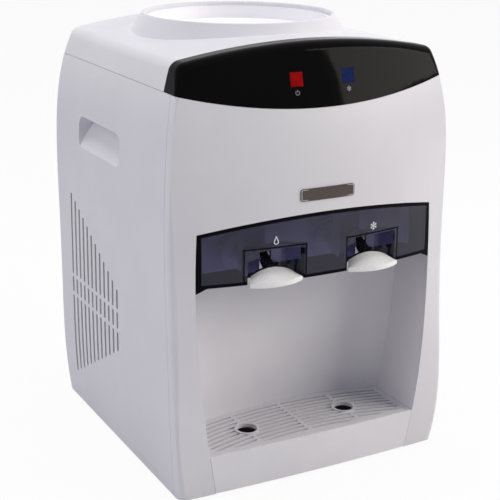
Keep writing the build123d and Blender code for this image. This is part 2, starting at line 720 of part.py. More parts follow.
# Base plate with sunk screw seats, and standoffs for the supply board
foot_spots = [(x, y) for x in (-FOOT_X, FOOT_X) for y in (-FOOT_Y, FOOT_Y)] + [(0, 0)]
frame_foot_x = FRAME_HALF_WIDTH + FRAME_FOOT / 2
base_screw_spots = [(x, y) for x in (-frame_foot_x, frame_foot_x) for y in (FRAME_FRONT / 2, FRAME_BACK / 2)]
standoff_spots = [
    (SUPPLY_X + i * (SUPPLY_LENGTH / 2 - STANDOFF_INSET), SUPPLY_Y + j * (SUPPLY_WIDTH / 2 - STANDOFF_INSET))
    for i in (-1, 1)
    for j in (-1, 1)
]
with BuildPart() as base_plate:
    extrude(wall_section(LEVELS[0], WALL + FIT), amount=BASE_THICKNESS)
    with BuildSketch(Plane.XY.offset(BASE_Z)):
        with Locations(*foot_spots):
            Circle(FOOT_STEM + SCREW_GAP)
        with Locations(*base_screw_spots):
            Circle(SCREW_RADIUS + SCREW_GAP)
    extrude(amount=BASE_THICKNESS, mode=Mode.SUBTRACT)
    with BuildSketch(Plane.XY.offset(BASE_Z)):
        with Locations(*base_screw_spots):
            Circle(SCREW_HEAD_RADIUS + SCREW_GAP)
    extrude(amount=SCREW_HEAD_HEIGHT + SCREW_GAP, mode=Mode.SUBTRACT)
    with BuildSketch(Plane.XY.offset(BASE_TOP)):
        with Locations(*standoff_spots):
            Circle(STANDOFF_RADIUS)
    extrude(amount=STANDOFF_HEIGHT)
    with BuildSketch(Plane.XY.offset(BASE_TOP)):
        with Locations(*standoff_spots):
            Circle(SCREW_RADIUS + SCREW_GAP)
    extrude(amount=STANDOFF_HEIGHT, mode=Mode.SUBTRACT)
save(base_plate.part, "base_plate")

with BuildPart() as rubber_feet:
    with BuildSketch():
        with Locations(*foot_spots):
            Circle(FOOT_RADIUS)
    extrude(amount=FOOT_REACH)
    chamfer(rubber_feet.faces().group_by(Axis.Z)[0].edges(), FOOT_REACH / 4)
    with BuildSketch(Plane.XY.offset(BASE_Z)):
        with Locations(*foot_spots):
            Circle(FOOT_STEM)
    extrude(amount=BASE_THICKNESS)
save(rubber_feet.part, "rubber_feet")

# Inner frame: one bent sheet that stands on the base and carries the tank
nozzle_spots = [(-TAP_X, NOZZLE_Y), (TAP_X, NOZZLE_Y), (0, DRAIN_NOZZLE_Y)]
with BuildPart() as inner_frame:
    with BuildSketch(facing(FRAME_BACK)):
        with BuildLine():
            half, foot = FRAME_HALF_WIDTH, FRAME_HALF_WIDTH + FRAME_FOOT
            Polyline(
                (-foot, BASE_TOP), (-half + SHEET, BASE_TOP), (-half + SHEET, SHELF_Z),
                (half - SHEET, SHELF_Z), (half - SHEET, BASE_TOP), (foot, BASE_TOP),
                (foot, BASE_TOP + SHEET), (half, BASE_TOP + SHEET), (half, SHELF_TOP),
                (-half, SHELF_TOP), (-half, BASE_TOP + SHEET), (-foot, BASE_TOP + SHEET),
                close=True,
            )
        make_face()
    extrude(amount=FRAME_BACK - FRAME_FRONT)
    with BuildSketch(Plane.XY.offset(SHELF_Z)):
        with Locations(*nozzle_spots):
            Circle(NOZZLE_RADIUS + BITE)
    extrude(amount=SHEET, mode=Mode.SUBTRACT)
    with BuildSketch(Plane.XY.offset(BASE_TOP)):
        with Locations(*base_screw_spots):
            Circle(SCREW_RADIUS + SCREW_GAP)
    extrude(amount=SHEET, mode=Mode.SUBTRACT)
save(inner_frame.part, "inner_frame")

with BuildPart() as base_screws:
    with BuildSketch(Plane.XY.offset(BASE_Z + SCREW_GAP)):
        with Locations(*base_screw_spots):
            Circle(SCREW_HEAD_RADIUS)
    extrude(amount=SCREW_HEAD_HEIGHT)
    with BuildSketch(Plane.XY.offset(BASE_Z + SCREW_GAP + SCREW_HEAD_HEIGHT)):
        with Locations(*base_screw_spots):
            Circle(SCREW_RADIUS)
    extrude(amount=SCREW_LENGTH)
save(base_screws.part, "base_screws")

# Alcove liner, with a flat pad on each side of its rear wall for each tap
tap_spots = [(-TAP_X, TAP_Z), (TAP_X, TAP_Z)]
with BuildPart() as alcove_liner:
    add(alcove_block(LINER_WALL, -LINER_WALL, BASE_TOP, CROWN_Z))
    add(alcove_block(0, 0, BASE_Z, CROWN_Z), mode=Mode.SUBTRACT)
    add(wall_form(WALL + FIT / 2), mode=Mode.INTERSECT)
    with BuildSketch(facing(-PAD_BACK)):
        with Locations(*tap_spots):
            Circle(PAD_RADIUS)
    extrude(amount=PAD_FRONT - PAD_BACK)
    with BuildSketch(facing(-PAD_BACK)):
        with Locations(*tap_spots):
            Circle(SHANK_RADIUS + SCREW_GAP)
    extrude(amount=PAD_FRONT - PAD_BACK, mode=Mode.SUBTRACT)
save(alcove_liner.part, "alcove_liner")


# Tap cover: a tinted moulding behind the front's surface, with a tunnel for each lever
def cover_block(inset, lift):
    """Space above the tap cover's toed lower edge and inside the opening, drawn in by inset."""
    half = OPENING_TOP_HALF + BITE
    low = COVER_FOOT_Z + lift
    with BuildPart() as block:
        extrude(opening_view(-FIT - inset), amount=FAR)
        with BuildSketch(FRONT_VIEW):
            with BuildLine():
                Polyline(
                    (half, low - COVER_TOE), (OPENING_TOP_HALF - COVER_TOE_LENGTH, low),
                    (COVER_TOE_LENGTH - OPENING_TOP_HALF, low), (-half, low - COVER_TOE),
                    (-half, CROWN_Z), (half, CROWN_Z), close=True,
                )
            make_face()
        extrude(amount=THROUGH, mode=Mode.INTERSECT)
    return block.part


def lever_tunnel(x, grow):
    """Tapered passage for one lever, open below, from ahead of the front to its closed rear end."""
    low = COVER_FOOT_Z - NOTCH_HEIGHT
    with BuildPart() as tunnel:
        ends = (
            (-CHEST_FRONT - CHEST_BOW - BITE, NOTCH_HALF, NOTCH_HEIGHT),
            (grow - TUNNEL_END, TUNNEL_END_HALF, TUNNEL_END_HEIGHT),
        )
        for y, half, height in ends:
            with BuildSketch(facing(y)) as mouth:
                with Locations((x, low)):
                    Rectangle(
                        2 * (half + grow), NOTCH_HEIGHT + height + grow, align=(Align.CENTER, Align.MIN)
                    )
                fillet(mouth.vertices().group_by(Axis.Z)[-1], NOTCH_ROUND + grow)
        loft()
    return tunnel.part


cover_end = CHEST_FRONT + CHEST_BOW - COVER_DEPTH
with BuildPart() as cover_skin:
    add(cover_block(0, 0))
    add(inner, mode=Mode.SUBTRACT)

with BuildPart() as tunnel_walls:
    for side, name in SIDES:
        add(lever_tunnel(side * TAP_X, COVER_WALL))
    add(cover_block(0, 0), mode=Mode.INTERSECT)

with BuildPart() as tap_cover:
    add(cover_block(0, 0))
    add(cover_block(COVER_WALL, COVER_WALL), mode=Mode.SUBTRACT)
    add(cover_skin.part)
    add(tunnel_walls.part)
    for side, name in SIDES:
        add(lever_tunnel(side * TAP_X, 0), mode=Mode.SUBTRACT)
        with BuildSketch(facing(COVER_WALL + BITE - TUNNEL_END)):
            with Locations((side * TAP_X, COVER_FOOT_Z - COVER_TOE)):
                Rectangle(
                    2 * LEVER_SLOT_HALF, COVER_TOE + LEVER_SLOT_TOP, align=(Align.CENTER, Align.MIN)
                )
        extrude(amount=COVER_WALL + 2 * BITE, mode=Mode.SUBTRACT)
    add(outer, mode=Mode.INTERSECT)
    with BuildSketch(facing(-cover_end)):
        Rectangle(THROUGH, THROUGH)
    extrude(amount=FAR, mode=Mode.INTERSECT)
    with BuildSketch(Plane.XY.offset(COVER_FOOT_Z - COVER_TOE)):
        for side, name in SIDES:
            with Locations((side * TAP_X, -cover_end)):
                Rectangle(2 * (TUNNEL_END_HALF - BITE), 2 * (TUNNEL_END - COVER_WALL - cover_end))
    extrude(amount=COVER_TOE + COVER_WALL, mode=Mode.SUBTRACT)
save(tap_cover.part, "tap_cover")

# Taps: everything on one valve axis and one lever pivot, left and right alike
washer_plane = -PAD_FRONT - WASHER_THICKNESS
chamber_low = TAP_Z - CHAMBER_BELOW
chamber_top = TAP_Z + CHAMBER_ABOVE
plunger_low = chamber_low + CHAMBER_FLOOR + SCREW_GAP
collar_low = chamber_top + BONNET_RIM
valve_travel = PIVOT_AHEAD * sin(radians(LEVER_PRESS))
bonnet_top = chamber_top + BONNET_HEIGHT
spring_low = collar_low + PLUNGER_COLLAR_HEIGHT + SPRING_WIRE
spring_high = bonnet_top - BONNET_WALL - SPRING_WIRE
ear_face = HUB_HALF + EAR_GAP
rim_z = COVER_FOOT_Z - PADDLE_DROP


def disc(x, plane, radius, depth):
    """Disc on the tap's waterway axis, from one depth plane towards the front."""
    with BuildPart() as piece:
        with BuildSketch(facing(plane)):
            with Locations((x, TAP_Z)):
                Circle(radius)
        extrude(amount=depth)
    return piece.part


def post(x, y, low, radius, height):
    """Upright cylinder."""
    with BuildPart() as piece:
        with BuildSketch(Plane.XY.offset(low)):
            with Locations((x, y)):
                Circle(radius)
        extrude(amount=height)
    return piece.part


def tap_body(x):
    """Flange, shank, barrel and valve chamber in one, with ears for the lever's pin."""
    with BuildPart() as body:
        add(disc(x, washer_plane, FLANGE_RADIUS, FLANGE_THICKNESS))
        add(disc(x, -SHANK_END, SHANK_RADIUS, -SHANK_END - washer_plane))
        add(disc(x, washer_plane, BARREL_RADIUS, washer_plane - VALVE_Y))
        add(post(x, VALVE_Y, chamber_low, CHAMBER_RADIUS, chamber_top - chamber_low))
        add(post(x, VALVE_Y, chamber_low - SPOUT_LENGTH, SPOUT_RADIUS, SPOUT_LENGTH))
        for side, name in SIDES:
            with BuildSketch(Plane.YZ.offset(x + side * ear_face)):
                with Locations((PIVOT_Y, PIVOT_Z)):
                    Circle(EAR_RADIUS)
                    Rectangle(PIVOT_AHEAD, 2 * EAR_RADIUS, align=(Align.MIN, Align.CENTER))
                    Circle(PIN_RADIUS + RUNNING, mode=Mode.SUBTRACT)
            extrude(amount=side * EAR_THICKNESS)
        add(post(x, VALVE_Y, chamber_low + CHAMBER_FLOOR, CHAMBER_BORE, FAR), mode=Mode.SUBTRACT)
        add(post(x, VALVE_Y, chamber_low - SPOUT_LENGTH, WATERWAY_RADIUS, TAP_Z), mode=Mode.SUBTRACT)
        add(disc(x, -SHANK_END, WATERWAY_RADIUS, -SHANK_END - VALVE_Y), mode=Mode.SUBTRACT)
        with BuildSketch(facing(VALVE_Y)):
            with Locations((x, PIVOT_Z - TONGUE_TIP - BITE)):
                Rectangle(
                    2 * (TONGUE_HALF + BITE), valve_travel + 2 * (TONGUE_TIP + BITE),
                    align=(Align.CENTER, Align.MIN),
                )
        extrude(amount=CHAMBER_RADIUS, mode=Mode.SUBTRACT)
    return body.part


def tap_washer(x):
    """Soft ring between the flange and the liner's pad."""
    with BuildPart() as ring:
        add(disc(x, -PAD_FRONT, WASHER_RADIUS, WASHER_THICKNESS))
        add(disc(x, -PAD_FRONT, SHANK_RADIUS + FIT, WASHER_THICKNESS), mode=Mode.SUBTRACT)
    return ring.part


def tap_nut(x):
    """Hexagon nut that draws the tap against the liner from behind."""
    with BuildPart() as nut:
        with BuildSketch(facing(-PAD_BACK + NUT_THICKNESS)):
            with Locations((x, TAP_Z)):
                RegularPolygon(NUT_FLATS / 2, 6, major_radius=False)
                Circle(SHANK_RADIUS + RUNNING, mode=Mode.SUBTRACT)
        extrude(amount=NUT_THICKNESS)
    return nut.part


def tap_bonnet(x):
    """Cap on the valve chamber that holds the spring."""
    with BuildPart() as bonnet:
        add(post(x, VALVE_Y, chamber_top, CHAMBER_RADIUS, BONNET_HEIGHT))
        fillet(bonnet.faces().sort_by(Axis.Z)[-1].edges(), BONNET_WALL)
        add(post(x, VALVE_Y, chamber_top - BONNET_PLUG, CHAMBER_BORE - RUNNING, BONNET_PLUG))
        hollow = BONNET_PLUG + BONNET_HEIGHT - BONNET_WALL
        add(post(x, VALVE_Y, chamber_top - BONNET_PLUG, PLUNGER_COLLAR + BITE, hollow), mode=Mode.SUBTRACT)
    return bonnet.part


def valve_plunger(x):
    """Sealing disc, stem with a cross slot for the lever's tongue, and collar under the spring."""
    with BuildPart() as plunger:
        add(post(x, VALVE_Y, plunger_low, CHAMBER_BORE - 2 * FIT, PLUNGER_DISC))
        add(post(x, VALVE_Y, plunger_low, PLUNGER_STEM, collar_low - plunger_low))
        add(post(x, VALVE_Y, collar_low, PLUNGER_COLLAR, PLUNGER_COLLAR_HEIGHT))
        with BuildSketch(facing(VALVE_Y + PLUNGER_STEM)):
            with Locations((x, PIVOT_Z)):
                Rectangle(2 * (TONGUE_HALF + FIT), 2 * (TONGUE_TIP + 2 * FIT))
        extrude(amount=2 * PLUNGER_STEM, mode=Mode.SUBTRACT)
    return plunger.part


def valve_spring(x):
    """Open coil between the plunger's collar and the bonnet."""
    height = spring_high - spring_low
    with BuildPart() as spring:
        with BuildLine() as coil:
            Helix(height / SPRING_TURNS, height, SPRING_COIL_RADIUS, center=(x, VALVE_Y, spring_low))
        with BuildSketch(Plane(origin=coil.line @ 0, z_dir=coil.line % 0)):
            Circle(SPRING_WIRE)
        sweep(is_frenet=True)
    return spring.part


def lever_pin(x):
    """Pin through both ears and the lever's hub."""
    half = ear_face + EAR_THICKNESS + EAR_GAP
    with BuildPart() as pin:
        with BuildSketch(Plane.YZ.offset(x - half)):
            with Locations((PIVOT_Y, PIVOT_Z)):
                Circle(PIN_RADIUS)
        extrude(amount=2 * half)
    return pin.part


def visor(x, inset):
    """Hooded paddle of one lever, drawn in by inset but not at its lower edge."""
    half = PADDLE_HALF - inset
    rear_half = PADDLE_REAR_HALF - inset
    top = rim_z + PADDLE_RIM - inset
    with BuildPart() as hood:
        for y, rise in ((-PADDLE_REAR, PADDLE_REAR_RISE), (-PADDLE_TIP, PADDLE_TIP_RISE)):
            with BuildSketch(facing(y)):
                with BuildLine():
                    Polyline((x - half, top), (x - half, rim_z), (x + half, rim_z), (x + half, top))
                    ThreePointArc((x + half, top), (x, top + rise), (x - half, top))
                make_face()
        loft()
        with BuildSketch(Plane.XY.offset(rim_z)):
            with BuildLine():
                ThreePointArc((x - half, -PADDLE_SIDE), (x, inset - PADDLE_TIP), (x + half, -PADDLE_SIDE))
                Polyline(
                    (x + half, -PADDLE_SIDE), (x + rear_half, -PADDLE_REAR - inset),
                    (x - rear_half, -PADDLE_REAR - inset), (x - half, -PADDLE_SIDE),
                )
            make_face()
        extrude(amount=FAR, mode=Mode.INTERSECT)
    return hood.part


def tap_lever(x):
    """Paddle, arm, hub and the tongue that lifts the plunger."""
    apex = rim_z + PADDLE_RIM + PADDLE_REAR_RISE
    with BuildPart() as lever:
        add(visor(x, 0))
        add(visor(x, PADDLE_WALL), mode=Mode.SUBTRACT)
        with BuildSketch(Plane.YZ.offset(x - HUB_HALF)):
            with BuildLine():
                Polyline(
                    (PIVOT_Y, PIVOT_Z - TONGUE_TIP), (PIVOT_Y, PIVOT_Z + TONGUE_TIP),
                    (-PADDLE_REAR - PADDLE_WALL, apex - BITE),
                    (-PADDLE_REAR - PADDLE_WALL, rim_z + PADDLE_RIM),
                    close=True,
                )
            make_face()
            with Locations((PIVOT_Y, PIVOT_Z)):
                Circle(HUB_RADIUS)
        extrude(amount=2 * HUB_HALF)
        with BuildSketch(Plane.YZ.offset(x - TONGUE_HALF)):
            with Locations((PIVOT_Y, PIVOT_Z)):
                Rectangle(PIVOT_AHEAD, TONGUE_THICKNESS, align=(Align.MIN, Align.CENTER))
            with Locations((VALVE_Y, PIVOT_Z)):
                Circle(TONGUE_TIP)
        extrude(amount=2 * TONGUE_HALF)
        with BuildSketch(Plane.YZ.offset(x - HUB_HALF)):
            with Locations((PIVOT_Y, PIVOT_Z)):
                Circle(PIN_RADIUS + RUNNING)
        extrude(amount=2 * HUB_HALF, mode=Mode.SUBTRACT)
    return lever.part


TAP_PIECES = (tap_body, tap_washer, tap_nut, tap_bonnet, valve_plunger, valve_spring, lever_pin, tap_lever)
for side, name in SIDES:
    for make in TAP_PIECES:
        save(make(side * TAP_X), f"{name}_{make.__name__}")

# Drip tray behind its own piece of the front, and the grille that drops into it
tray_floor = BASE_TOP + FIT
grille_foot = DECK_Z - GRILLE_THICKNESS
inner_gap = FIT + TRAY_WALL
basin_gap = inner_gap + GRILLE_LEDGE
with BuildPart() as base_space:
    add(inner)
    add(slab(0, tray_floor), mode=Mode.INTERSECT)

with BuildPart() as basin:
    add(alcove_block(-basin_gap, basin_gap, tray_floor + TRAY_WALL, DECK_Z))
    add(wall_form(WALL + GRILLE_LEDGE), mode=Mode.INTERSECT)

with BuildPart() as grille_seat:
    add(alcove_block(-inner_gap, inner_gap, grille_foot, DECK_Z))
    add(inner, mode=Mode.INTERSECT)

with BuildPart() as drip_tray:
    add(alcove_block(-FIT, FIT, BASE_Z + TRAY_LIFT, DECK_Z))
    add(outer, mode=Mode.INTERSECT)
    add(base_space.part, mode=Mode.SUBTRACT)
    add(basin.part, mode=Mode.SUBTRACT)
    add(grille_seat.part, mode=Mode.SUBTRACT)
save(drip_tray.part, "drip_tray")

rear_radius = arc_radius(ALCOVE_SIDE_HALF, ALCOVE_SIDE_BACK - ALCOVE_BACK)
drain_spots = [(-DRAIN_X, DRAIN_Y), (DRAIN_X, DRAIN_Y)]
with BuildPart() as slots:
    with BuildSketch(Plane.XY.offset(grille_foot)):
        for i in range(SLOT_COUNT):
            radius = rear_radius - inner_gap - GRILLE_MARGIN - i * SLOT_PITCH
            with Locations((0, -ALCOVE_BACK - rear_radius)):
                Circle(radius)
                Circle(radius - SLOT_WIDTH, mode=Mode.SUBTRACT)
        with Locations((-DRAIN_X, DRAIN_Y), (0, DRAIN_Y), (DRAIN_X, DRAIN_Y)):
            Rectangle(RIB_WIDTH, FAR, mode=Mode.SUBTRACT)
        with Locations(*drain_spots):
            Circle(DRAIN_RADIUS + DRAIN_RIM, mode=Mode.SUBTRACT)
    extrude(amount=GRILLE_THICKNESS)
    edge = inner_gap + FIT + GRILLE_MARGIN
    add(alcove_block(-edge, inner_gap, grille_foot, DECK_Z), mode=Mode.INTERSECT)
    add(wall_form(WALL + FIT + GRILLE_MARGIN), mode=Mode.INTERSECT)

with BuildPart() as drip_grille:
    add(alcove_block(-inner_gap - FIT, inner_gap + FIT, grille_foot, DECK_Z))
    add(wall_form(WALL + FIT), mode=Mode.INTERSECT)
    add(slots.part, mode=Mode.SUBTRACT)
    for x, y in drain_spots:
        add(post(x, y, grille_foot, DRAIN_RADIUS + DRAIN_RIM, GRILLE_THICKNESS + DRAIN_RIM_HEIGHT))
        add(post(x, y, grille_foot, DRAIN_RADIUS, FAR), mode=Mode.SUBTRACT)
save(drip_grille.part, "drip_grille")

# Bottle seat, a lift-out funnel on a gasket
seat_foot = LEDGE_Z + GASKET_THICKNESS
neck_top = LEDGE_Z - NECK_DROP
seat_radius = COLLAR_BORE - FIT
with BuildPart() as bottle_seat:
    with BuildSketch(Plane.YZ):
        with BuildLine():
            y = COLLAR_Y
            Polyline(
                (y + seat_radius, seat_foot + SEAT_LIP), (y + seat_radius, seat_foot),
                (y + LEDGE_RADIUS - SEAT_SHOULDER, seat_foot), (y + NECK_RADIUS, neck_top),
                (y + NECK_RADIUS, neck_top - NECK_LENGTH),
                (y + NECK_RADIUS - SEAT_WALL, neck_top - NECK_LENGTH),
                (y + NECK_RADIUS - SEAT_WALL, neck_top + SEAT_WALL / 2),
                (y + LEDGE_RADIUS - SEAT_SHOULDER, seat_foot + SEAT_WALL),
                (y + seat_radius - SEAT_WALL, seat_foot + SEAT_WALL),
                (y + seat_radius - SEAT_WALL, seat_foot + SEAT_LIP),
                close=True,
            )
        make_face()
    revolve(axis=Axis((0, COLLAR_Y, 0), (0, 0, 1)))
save(bottle_seat.part, "bottle_seat")

with BuildPart() as seat_gasket:
    add(post(0, COLLAR_Y, LEDGE_Z, COLLAR_BORE - BITE, GASKET_THICKNESS))
    add(post(0, COLLAR_Y, LEDGE_Z, LEDGE_RADIUS + BITE, GASKET_THICKNESS), mode=Mode.SUBTRACT)
save(seat_gasket.part, "seat_gasket")


# Tank with its lid, jacket and baffle
def square_block(half, low_y, high_y):
    """Square block on the cooler's axis between two depths."""
    with BuildPart() as block:
        with BuildSketch(facing(high_y)):
            with Locations((0, COOLER_Z)):
                Rectangle(2 * half, 2 * half)
        extrude(amount=high_y - low_y)
    return block.part


with BuildPart() as cold_tank:
    add(square_block(COOLER_HALF, COLLAR_Y + TANK_RADIUS / 2, PAD_PLANE))
    add(post(0, COLLAR_Y, TANK_FLOOR, TANK_RADIUS, TANK_HEIGHT))
    bore = TANK_RADIUS - TANK_WALL
    add(post(0, COLLAR_Y, TANK_FLOOR + TANK_WALL, bore, TANK_HEIGHT), mode=Mode.SUBTRACT)
    for x, y in nozzle_spots:
        add(post(x, y, NOZZLE_END, NOZZLE_RADIUS, TANK_FLOOR - NOZZLE_END))
        add(post(x, y, NOZZLE_END, NOZZLE_BORE, TANK_FLOOR + TANK_WALL - NOZZLE_END), mode=Mode.SUBTRACT)
save(cold_tank.part, "cold_tank")

with BuildPart() as tank_lid:
    add(post(0, COLLAR_Y, TANK_TOP, TANK_RADIUS + LID_OVERLAP, LID_THICKNESS))
    add(post(0, COLLAR_Y, TANK_TOP, NECK_RADIUS + BITE, LID_THICKNESS), mode=Mode.SUBTRACT)
save(tank_lid.part, "tank_lid")

with BuildPart() as tank_jacket:
    add(post(0, COLLAR_Y, SHELF_TOP, TANK_RADIUS + JACKET_WALL, TANK_TOP - SHELF_TOP))
    add(post(0, COLLAR_Y, TANK_FLOOR, TANK_RADIUS + FIT, TANK_HEIGHT), mode=Mode.SUBTRACT)
    add(square_block(COOLER_HALF + FIT, COLLAR_Y, FAR), mode=Mode.SUBTRACT)
    for x, y in nozzle_spots:
        add(post(x, y, SHELF_TOP, NOZZLE_RADIUS + FIT, JACKET_WALL), mode=Mode.SUBTRACT)
save(tank_jacket.part, "tank_jacket")

baffle_z = TANK_FLOOR + BAFFLE_RISE
with BuildPart() as baffle:
    add(post(0, COLLAR_Y, baffle_z, TANK_RADIUS - TANK_WALL - FIT, BAFFLE_THICKNESS))
    add(post(-TAP_X, NOZZLE_Y, TANK_FLOOR + TANK_WALL, NOZZLE_RADIUS, BAFFLE_RISE - TANK_WALL))
    hole = BAFFLE_RISE + BAFFLE_THICKNESS
    add(post(-TAP_X, NOZZLE_Y, TANK_FLOOR + TANK_WALL, NOZZLE_BORE, hole), mode=Mode.SUBTRACT)
    with BuildSketch(Plane.XY.offset(baffle_z)):
        with Locations((0, COLLAR_Y)):
            with PolarLocations(NECK_RADIUS, REAR_SLOT_COUNT):
                Circle(NOZZLE_BORE)
    extrude(amount=BAFFLE_THICKNESS, mode=Mode.SUBTRACT)
save(baffle.part, "baffle")

# Thermoelectric cooler, from the tank's pad to the fan
save(square_block(COOLER_HALF, PAD_PLANE, BLOCK_PLANE), "cold_block")
save(square_block(MODULE_HALF, BLOCK_PLANE, MODULE_PLANE), "cooling_module")

with BuildPart() as heat_sink:
    add(square_block(SINK_HALF, MODULE_PLANE, FIN_ROOT))
    with BuildSketch(facing(FIN_END)):
        with Locations((0, COOLER_Z)):
            with GridLocations((2 * SINK_HALF - FIN_THICKNESS) / (FIN_COUNT - 1), 0, FIN_COUNT, 1):
                Rectangle(FIN_THICKNESS, 2 * SINK_HALF)
    extrude(amount=FIN_HEIGHT)
save(heat_sink.part, "heat_sink")

fan_hole = SINK_HALF - FAN_HOLE_INSET
fan_spots = [(x, COOLER_Z + z) for x in (-fan_hole, fan_hole) for z in (-fan_hole, fan_hole)]
spider_plane = FAN_BACK - FAN_SPIDER
head_plane = FIN_END + SCREW_LENGTH / 2
with BuildPart() as fan_frame:
    add(square_block(SINK_HALF, FIN_END, FAN_BACK))
    with BuildSketch(facing(FAN_BACK)):
        with Locations((0, COOLER_Z)):
            Circle(FAN_BORE)
    extrude(amount=FAN_DEPTH, mode=Mode.SUBTRACT)
    with BuildSketch(facing(FAN_BACK)):
        with Locations((0, COOLER_Z)):
            Rectangle(2 * FAN_BORE + BITE, 2 * FAN_SPIDER)
            Rectangle(2 * FAN_SPIDER, 2 * FAN_BORE + BITE)
            Circle(FAN_HUB)
            Circle(FAN_SHAFT + RUNNING, mode=Mode.SUBTRACT)
    extrude(amount=FAN_SPIDER)
    with BuildSketch(facing(FAN_BACK)):
        with Locations(*fan_spots):
            Circle(FAN_HOLE_RADIUS)
    extrude(amount=FAN_DEPTH, mode=Mode.SUBTRACT)
    with BuildSketch(facing(FAN_BACK)):
        with Locations(*fan_spots):
            Circle(SCREW_HEAD_RADIUS + SCREW_GAP)
    extrude(amount=FAN_BACK - head_plane, mode=Mode.SUBTRACT)
save(fan_frame.part, "fan_frame")

with BuildPart() as fan_screws:
    with BuildSketch(facing(head_plane)):
        with Locations(*fan_spots):
            Circle(SCREW_HEAD_RADIUS)
    extrude(amount=-SCREW_HEAD_HEIGHT)
    with BuildSketch(facing(head_plane)):
        with Locations(*fan_spots):
            Circle(SCREW_RADIUS)
    extrude(amount=SCREW_LENGTH)
save(fan_screws.part, "fan_screws")

rotor_back = spider_plane - BITE
rotor_front = FIN_END + BITE
blade_middle = (rotor_back + rotor_front) / 2
blade_length = FAN_BORE - FAN_TIP_GAP - FAN_HUB + BITE
with BuildPart() as fan_rotor:
    with BuildSketch(facing(rotor_back)):
        with Locations((0, COOLER_Z)):
            Circle(FAN_HUB - BITE)
    extrude(amount=rotor_back - rotor_front)
    pitch = radians(FAN_BLADE_PITCH)
    chord = (rotor_back - rotor_front) * cos(pitch) / tan(pitch)
    for i in range(FAN_BLADE_COUNT):
        turn = radians(360 * i / FAN_BLADE_COUNT)
        outward = Vector(cos(turn), 0, sin(turn))
        across = Vector(-sin(turn) * cos(pitch), sin(pitch), cos(turn) * cos(pitch))
        with BuildSketch(Plane((0, blade_middle, COOLER_Z), outward, outward.cross(across))):
            with Locations((FAN_HUB - 2 * BITE, 0)):
                Rectangle(blade_length, chord, align=(Align.MIN, Align.CENTER))
        extrude(amount=FAN_BLADE_THICKNESS / 2, both=True)
    with BuildSketch(facing(FAN_BACK)):
        with Locations((0, COOLER_Z)):
            Circle(FAN_SHAFT)
    extrude(amount=FAN_BACK - rotor_back + BITE)
save(fan_rotor.part, "fan_rotor")


# Hoses, each an upright run, a bend and a level run
def hose(x, y, level, end_y):
    """Tube from a tank nozzle down to a level and on to a depth."""
    turn = HOSE_BEND if end_y > y else -HOSE_BEND
    near = 1 - cos(radians(45))
    with BuildPart() as tube:
        with BuildLine() as path:
            Line((x, y, NOZZLE_END), (x, y, level + HOSE_BEND))
            ThreePointArc(
                (x, y, level + HOSE_BEND),
                (x, y + turn * near, level + HOSE_BEND * near),
                (x, y + turn, level),
            )
            Line((x, y + turn, level), (x, end_y, level))
        with BuildSketch(Plane.XY.offset(NOZZLE_END)):
            with Locations((x, y)):
                Circle(NOZZLE_RADIUS)
                Circle(NOZZLE_BORE, mode=Mode.SUBTRACT)
        sweep(path=path.line)
    return tube.part


inside_wall = service_plane - WALL - SERVICE_STAND
drain_start = inside_wall - DRAIN_STUB
save(hose(TAP_X, NOZZLE_Y, TAP_Z, -SHANK_END), "cold_hose")
save(hose(-TAP_X, NOZZLE_Y, TAP_Z, -SHANK_END), "natural_hose")
save(hose(0, DRAIN_NOZZLE_Y, SERVICE_Z, drain_start), "drain_hose")


# Rear services: drain with its cap, power switch and the lead's gland
def rear_disc(x, start, radius, depth):
    """Disc on the services' level, from one depth plane towards the back."""
    with BuildPart() as piece:
        with BuildSketch(facing(start)):
            with Locations((x, SERVICE_Z)):
                Circle(radius)
        extrude(amount=-depth)
    return piece.part


stub_end = service_plane + GLAND_THICKNESS + DRAIN_STUB
with BuildPart() as drain_fitting:
    add(rear_disc(0, drain_start, DRAIN_PIPE, stub_end - drain_start))
    add(rear_disc(0, service_plane, DRAIN_FLANGE, GLAND_THICKNESS))
    add(rear_disc(0, drain_start, NOZZLE_BORE, stub_end - drain_start), mode=Mode.SUBTRACT)
save(drain_fitting.part, "drain_fitting")

cap_start = service_plane + GLAND_THICKNESS + FIT
with BuildPart() as drain_cap:
    add(rear_disc(0, cap_start, DRAIN_CAP_RADIUS, DRAIN_CAP_HEIGHT))
    fillet(drain_cap.faces().sort_by(Axis.Y)[-1].edges(), BITE)
    add(rear_disc(0, cap_start, DRAIN_PIPE + RUNNING, stub_end - cap_start + FIT), mode=Mode.SUBTRACT)
save(drain_cap.part, "drain_cap")

pocket_half = SWITCH_HALF + FIT
pocket_height = ROCKER_RADIUS + 2 * FIT
rocker_pivot = service_plane + SWITCH_FLANGE_THICKNESS / 2
with BuildPart() as switch_housing:
    with BuildSketch(facing(service_plane)):
        with Locations((SWITCH_X, SERVICE_Z)):
            Rectangle(2 * (SWITCH_HALF + SWITCH_WALL), 2 * (pocket_height + SWITCH_WALL - FIT))
    extrude(amount=SWITCH_DEPTH)
    with BuildSketch(facing(service_plane)):
        with Locations((SWITCH_X, SERVICE_Z)):
            Rectangle(2 * (pocket_half + SWITCH_FLANGE), 2 * (pocket_height + SWITCH_FLANGE))
    extrude(amount=-SWITCH_FLANGE_THICKNESS)
    with BuildSketch(facing(rocker_pivot - pocket_height)):
        with Locations((SWITCH_X, SERVICE_Z)):
            Rectangle(2 * pocket_half, 2 * pocket_height)
    extrude(amount=-FAR, mode=Mode.SUBTRACT)
    with BuildSketch(Plane.YZ.offset(SWITCH_X - SWITCH_HALF - SWITCH_WALL + FIT)):
        with Locations((rocker_pivot, SERVICE_Z)):
            Circle(ROCKER_PIN + RUNNING)
    extrude(amount=2 * (SWITCH_HALF + SWITCH_WALL - FIT), mode=Mode.SUBTRACT)
save(switch_housing.part, "switch_housing")

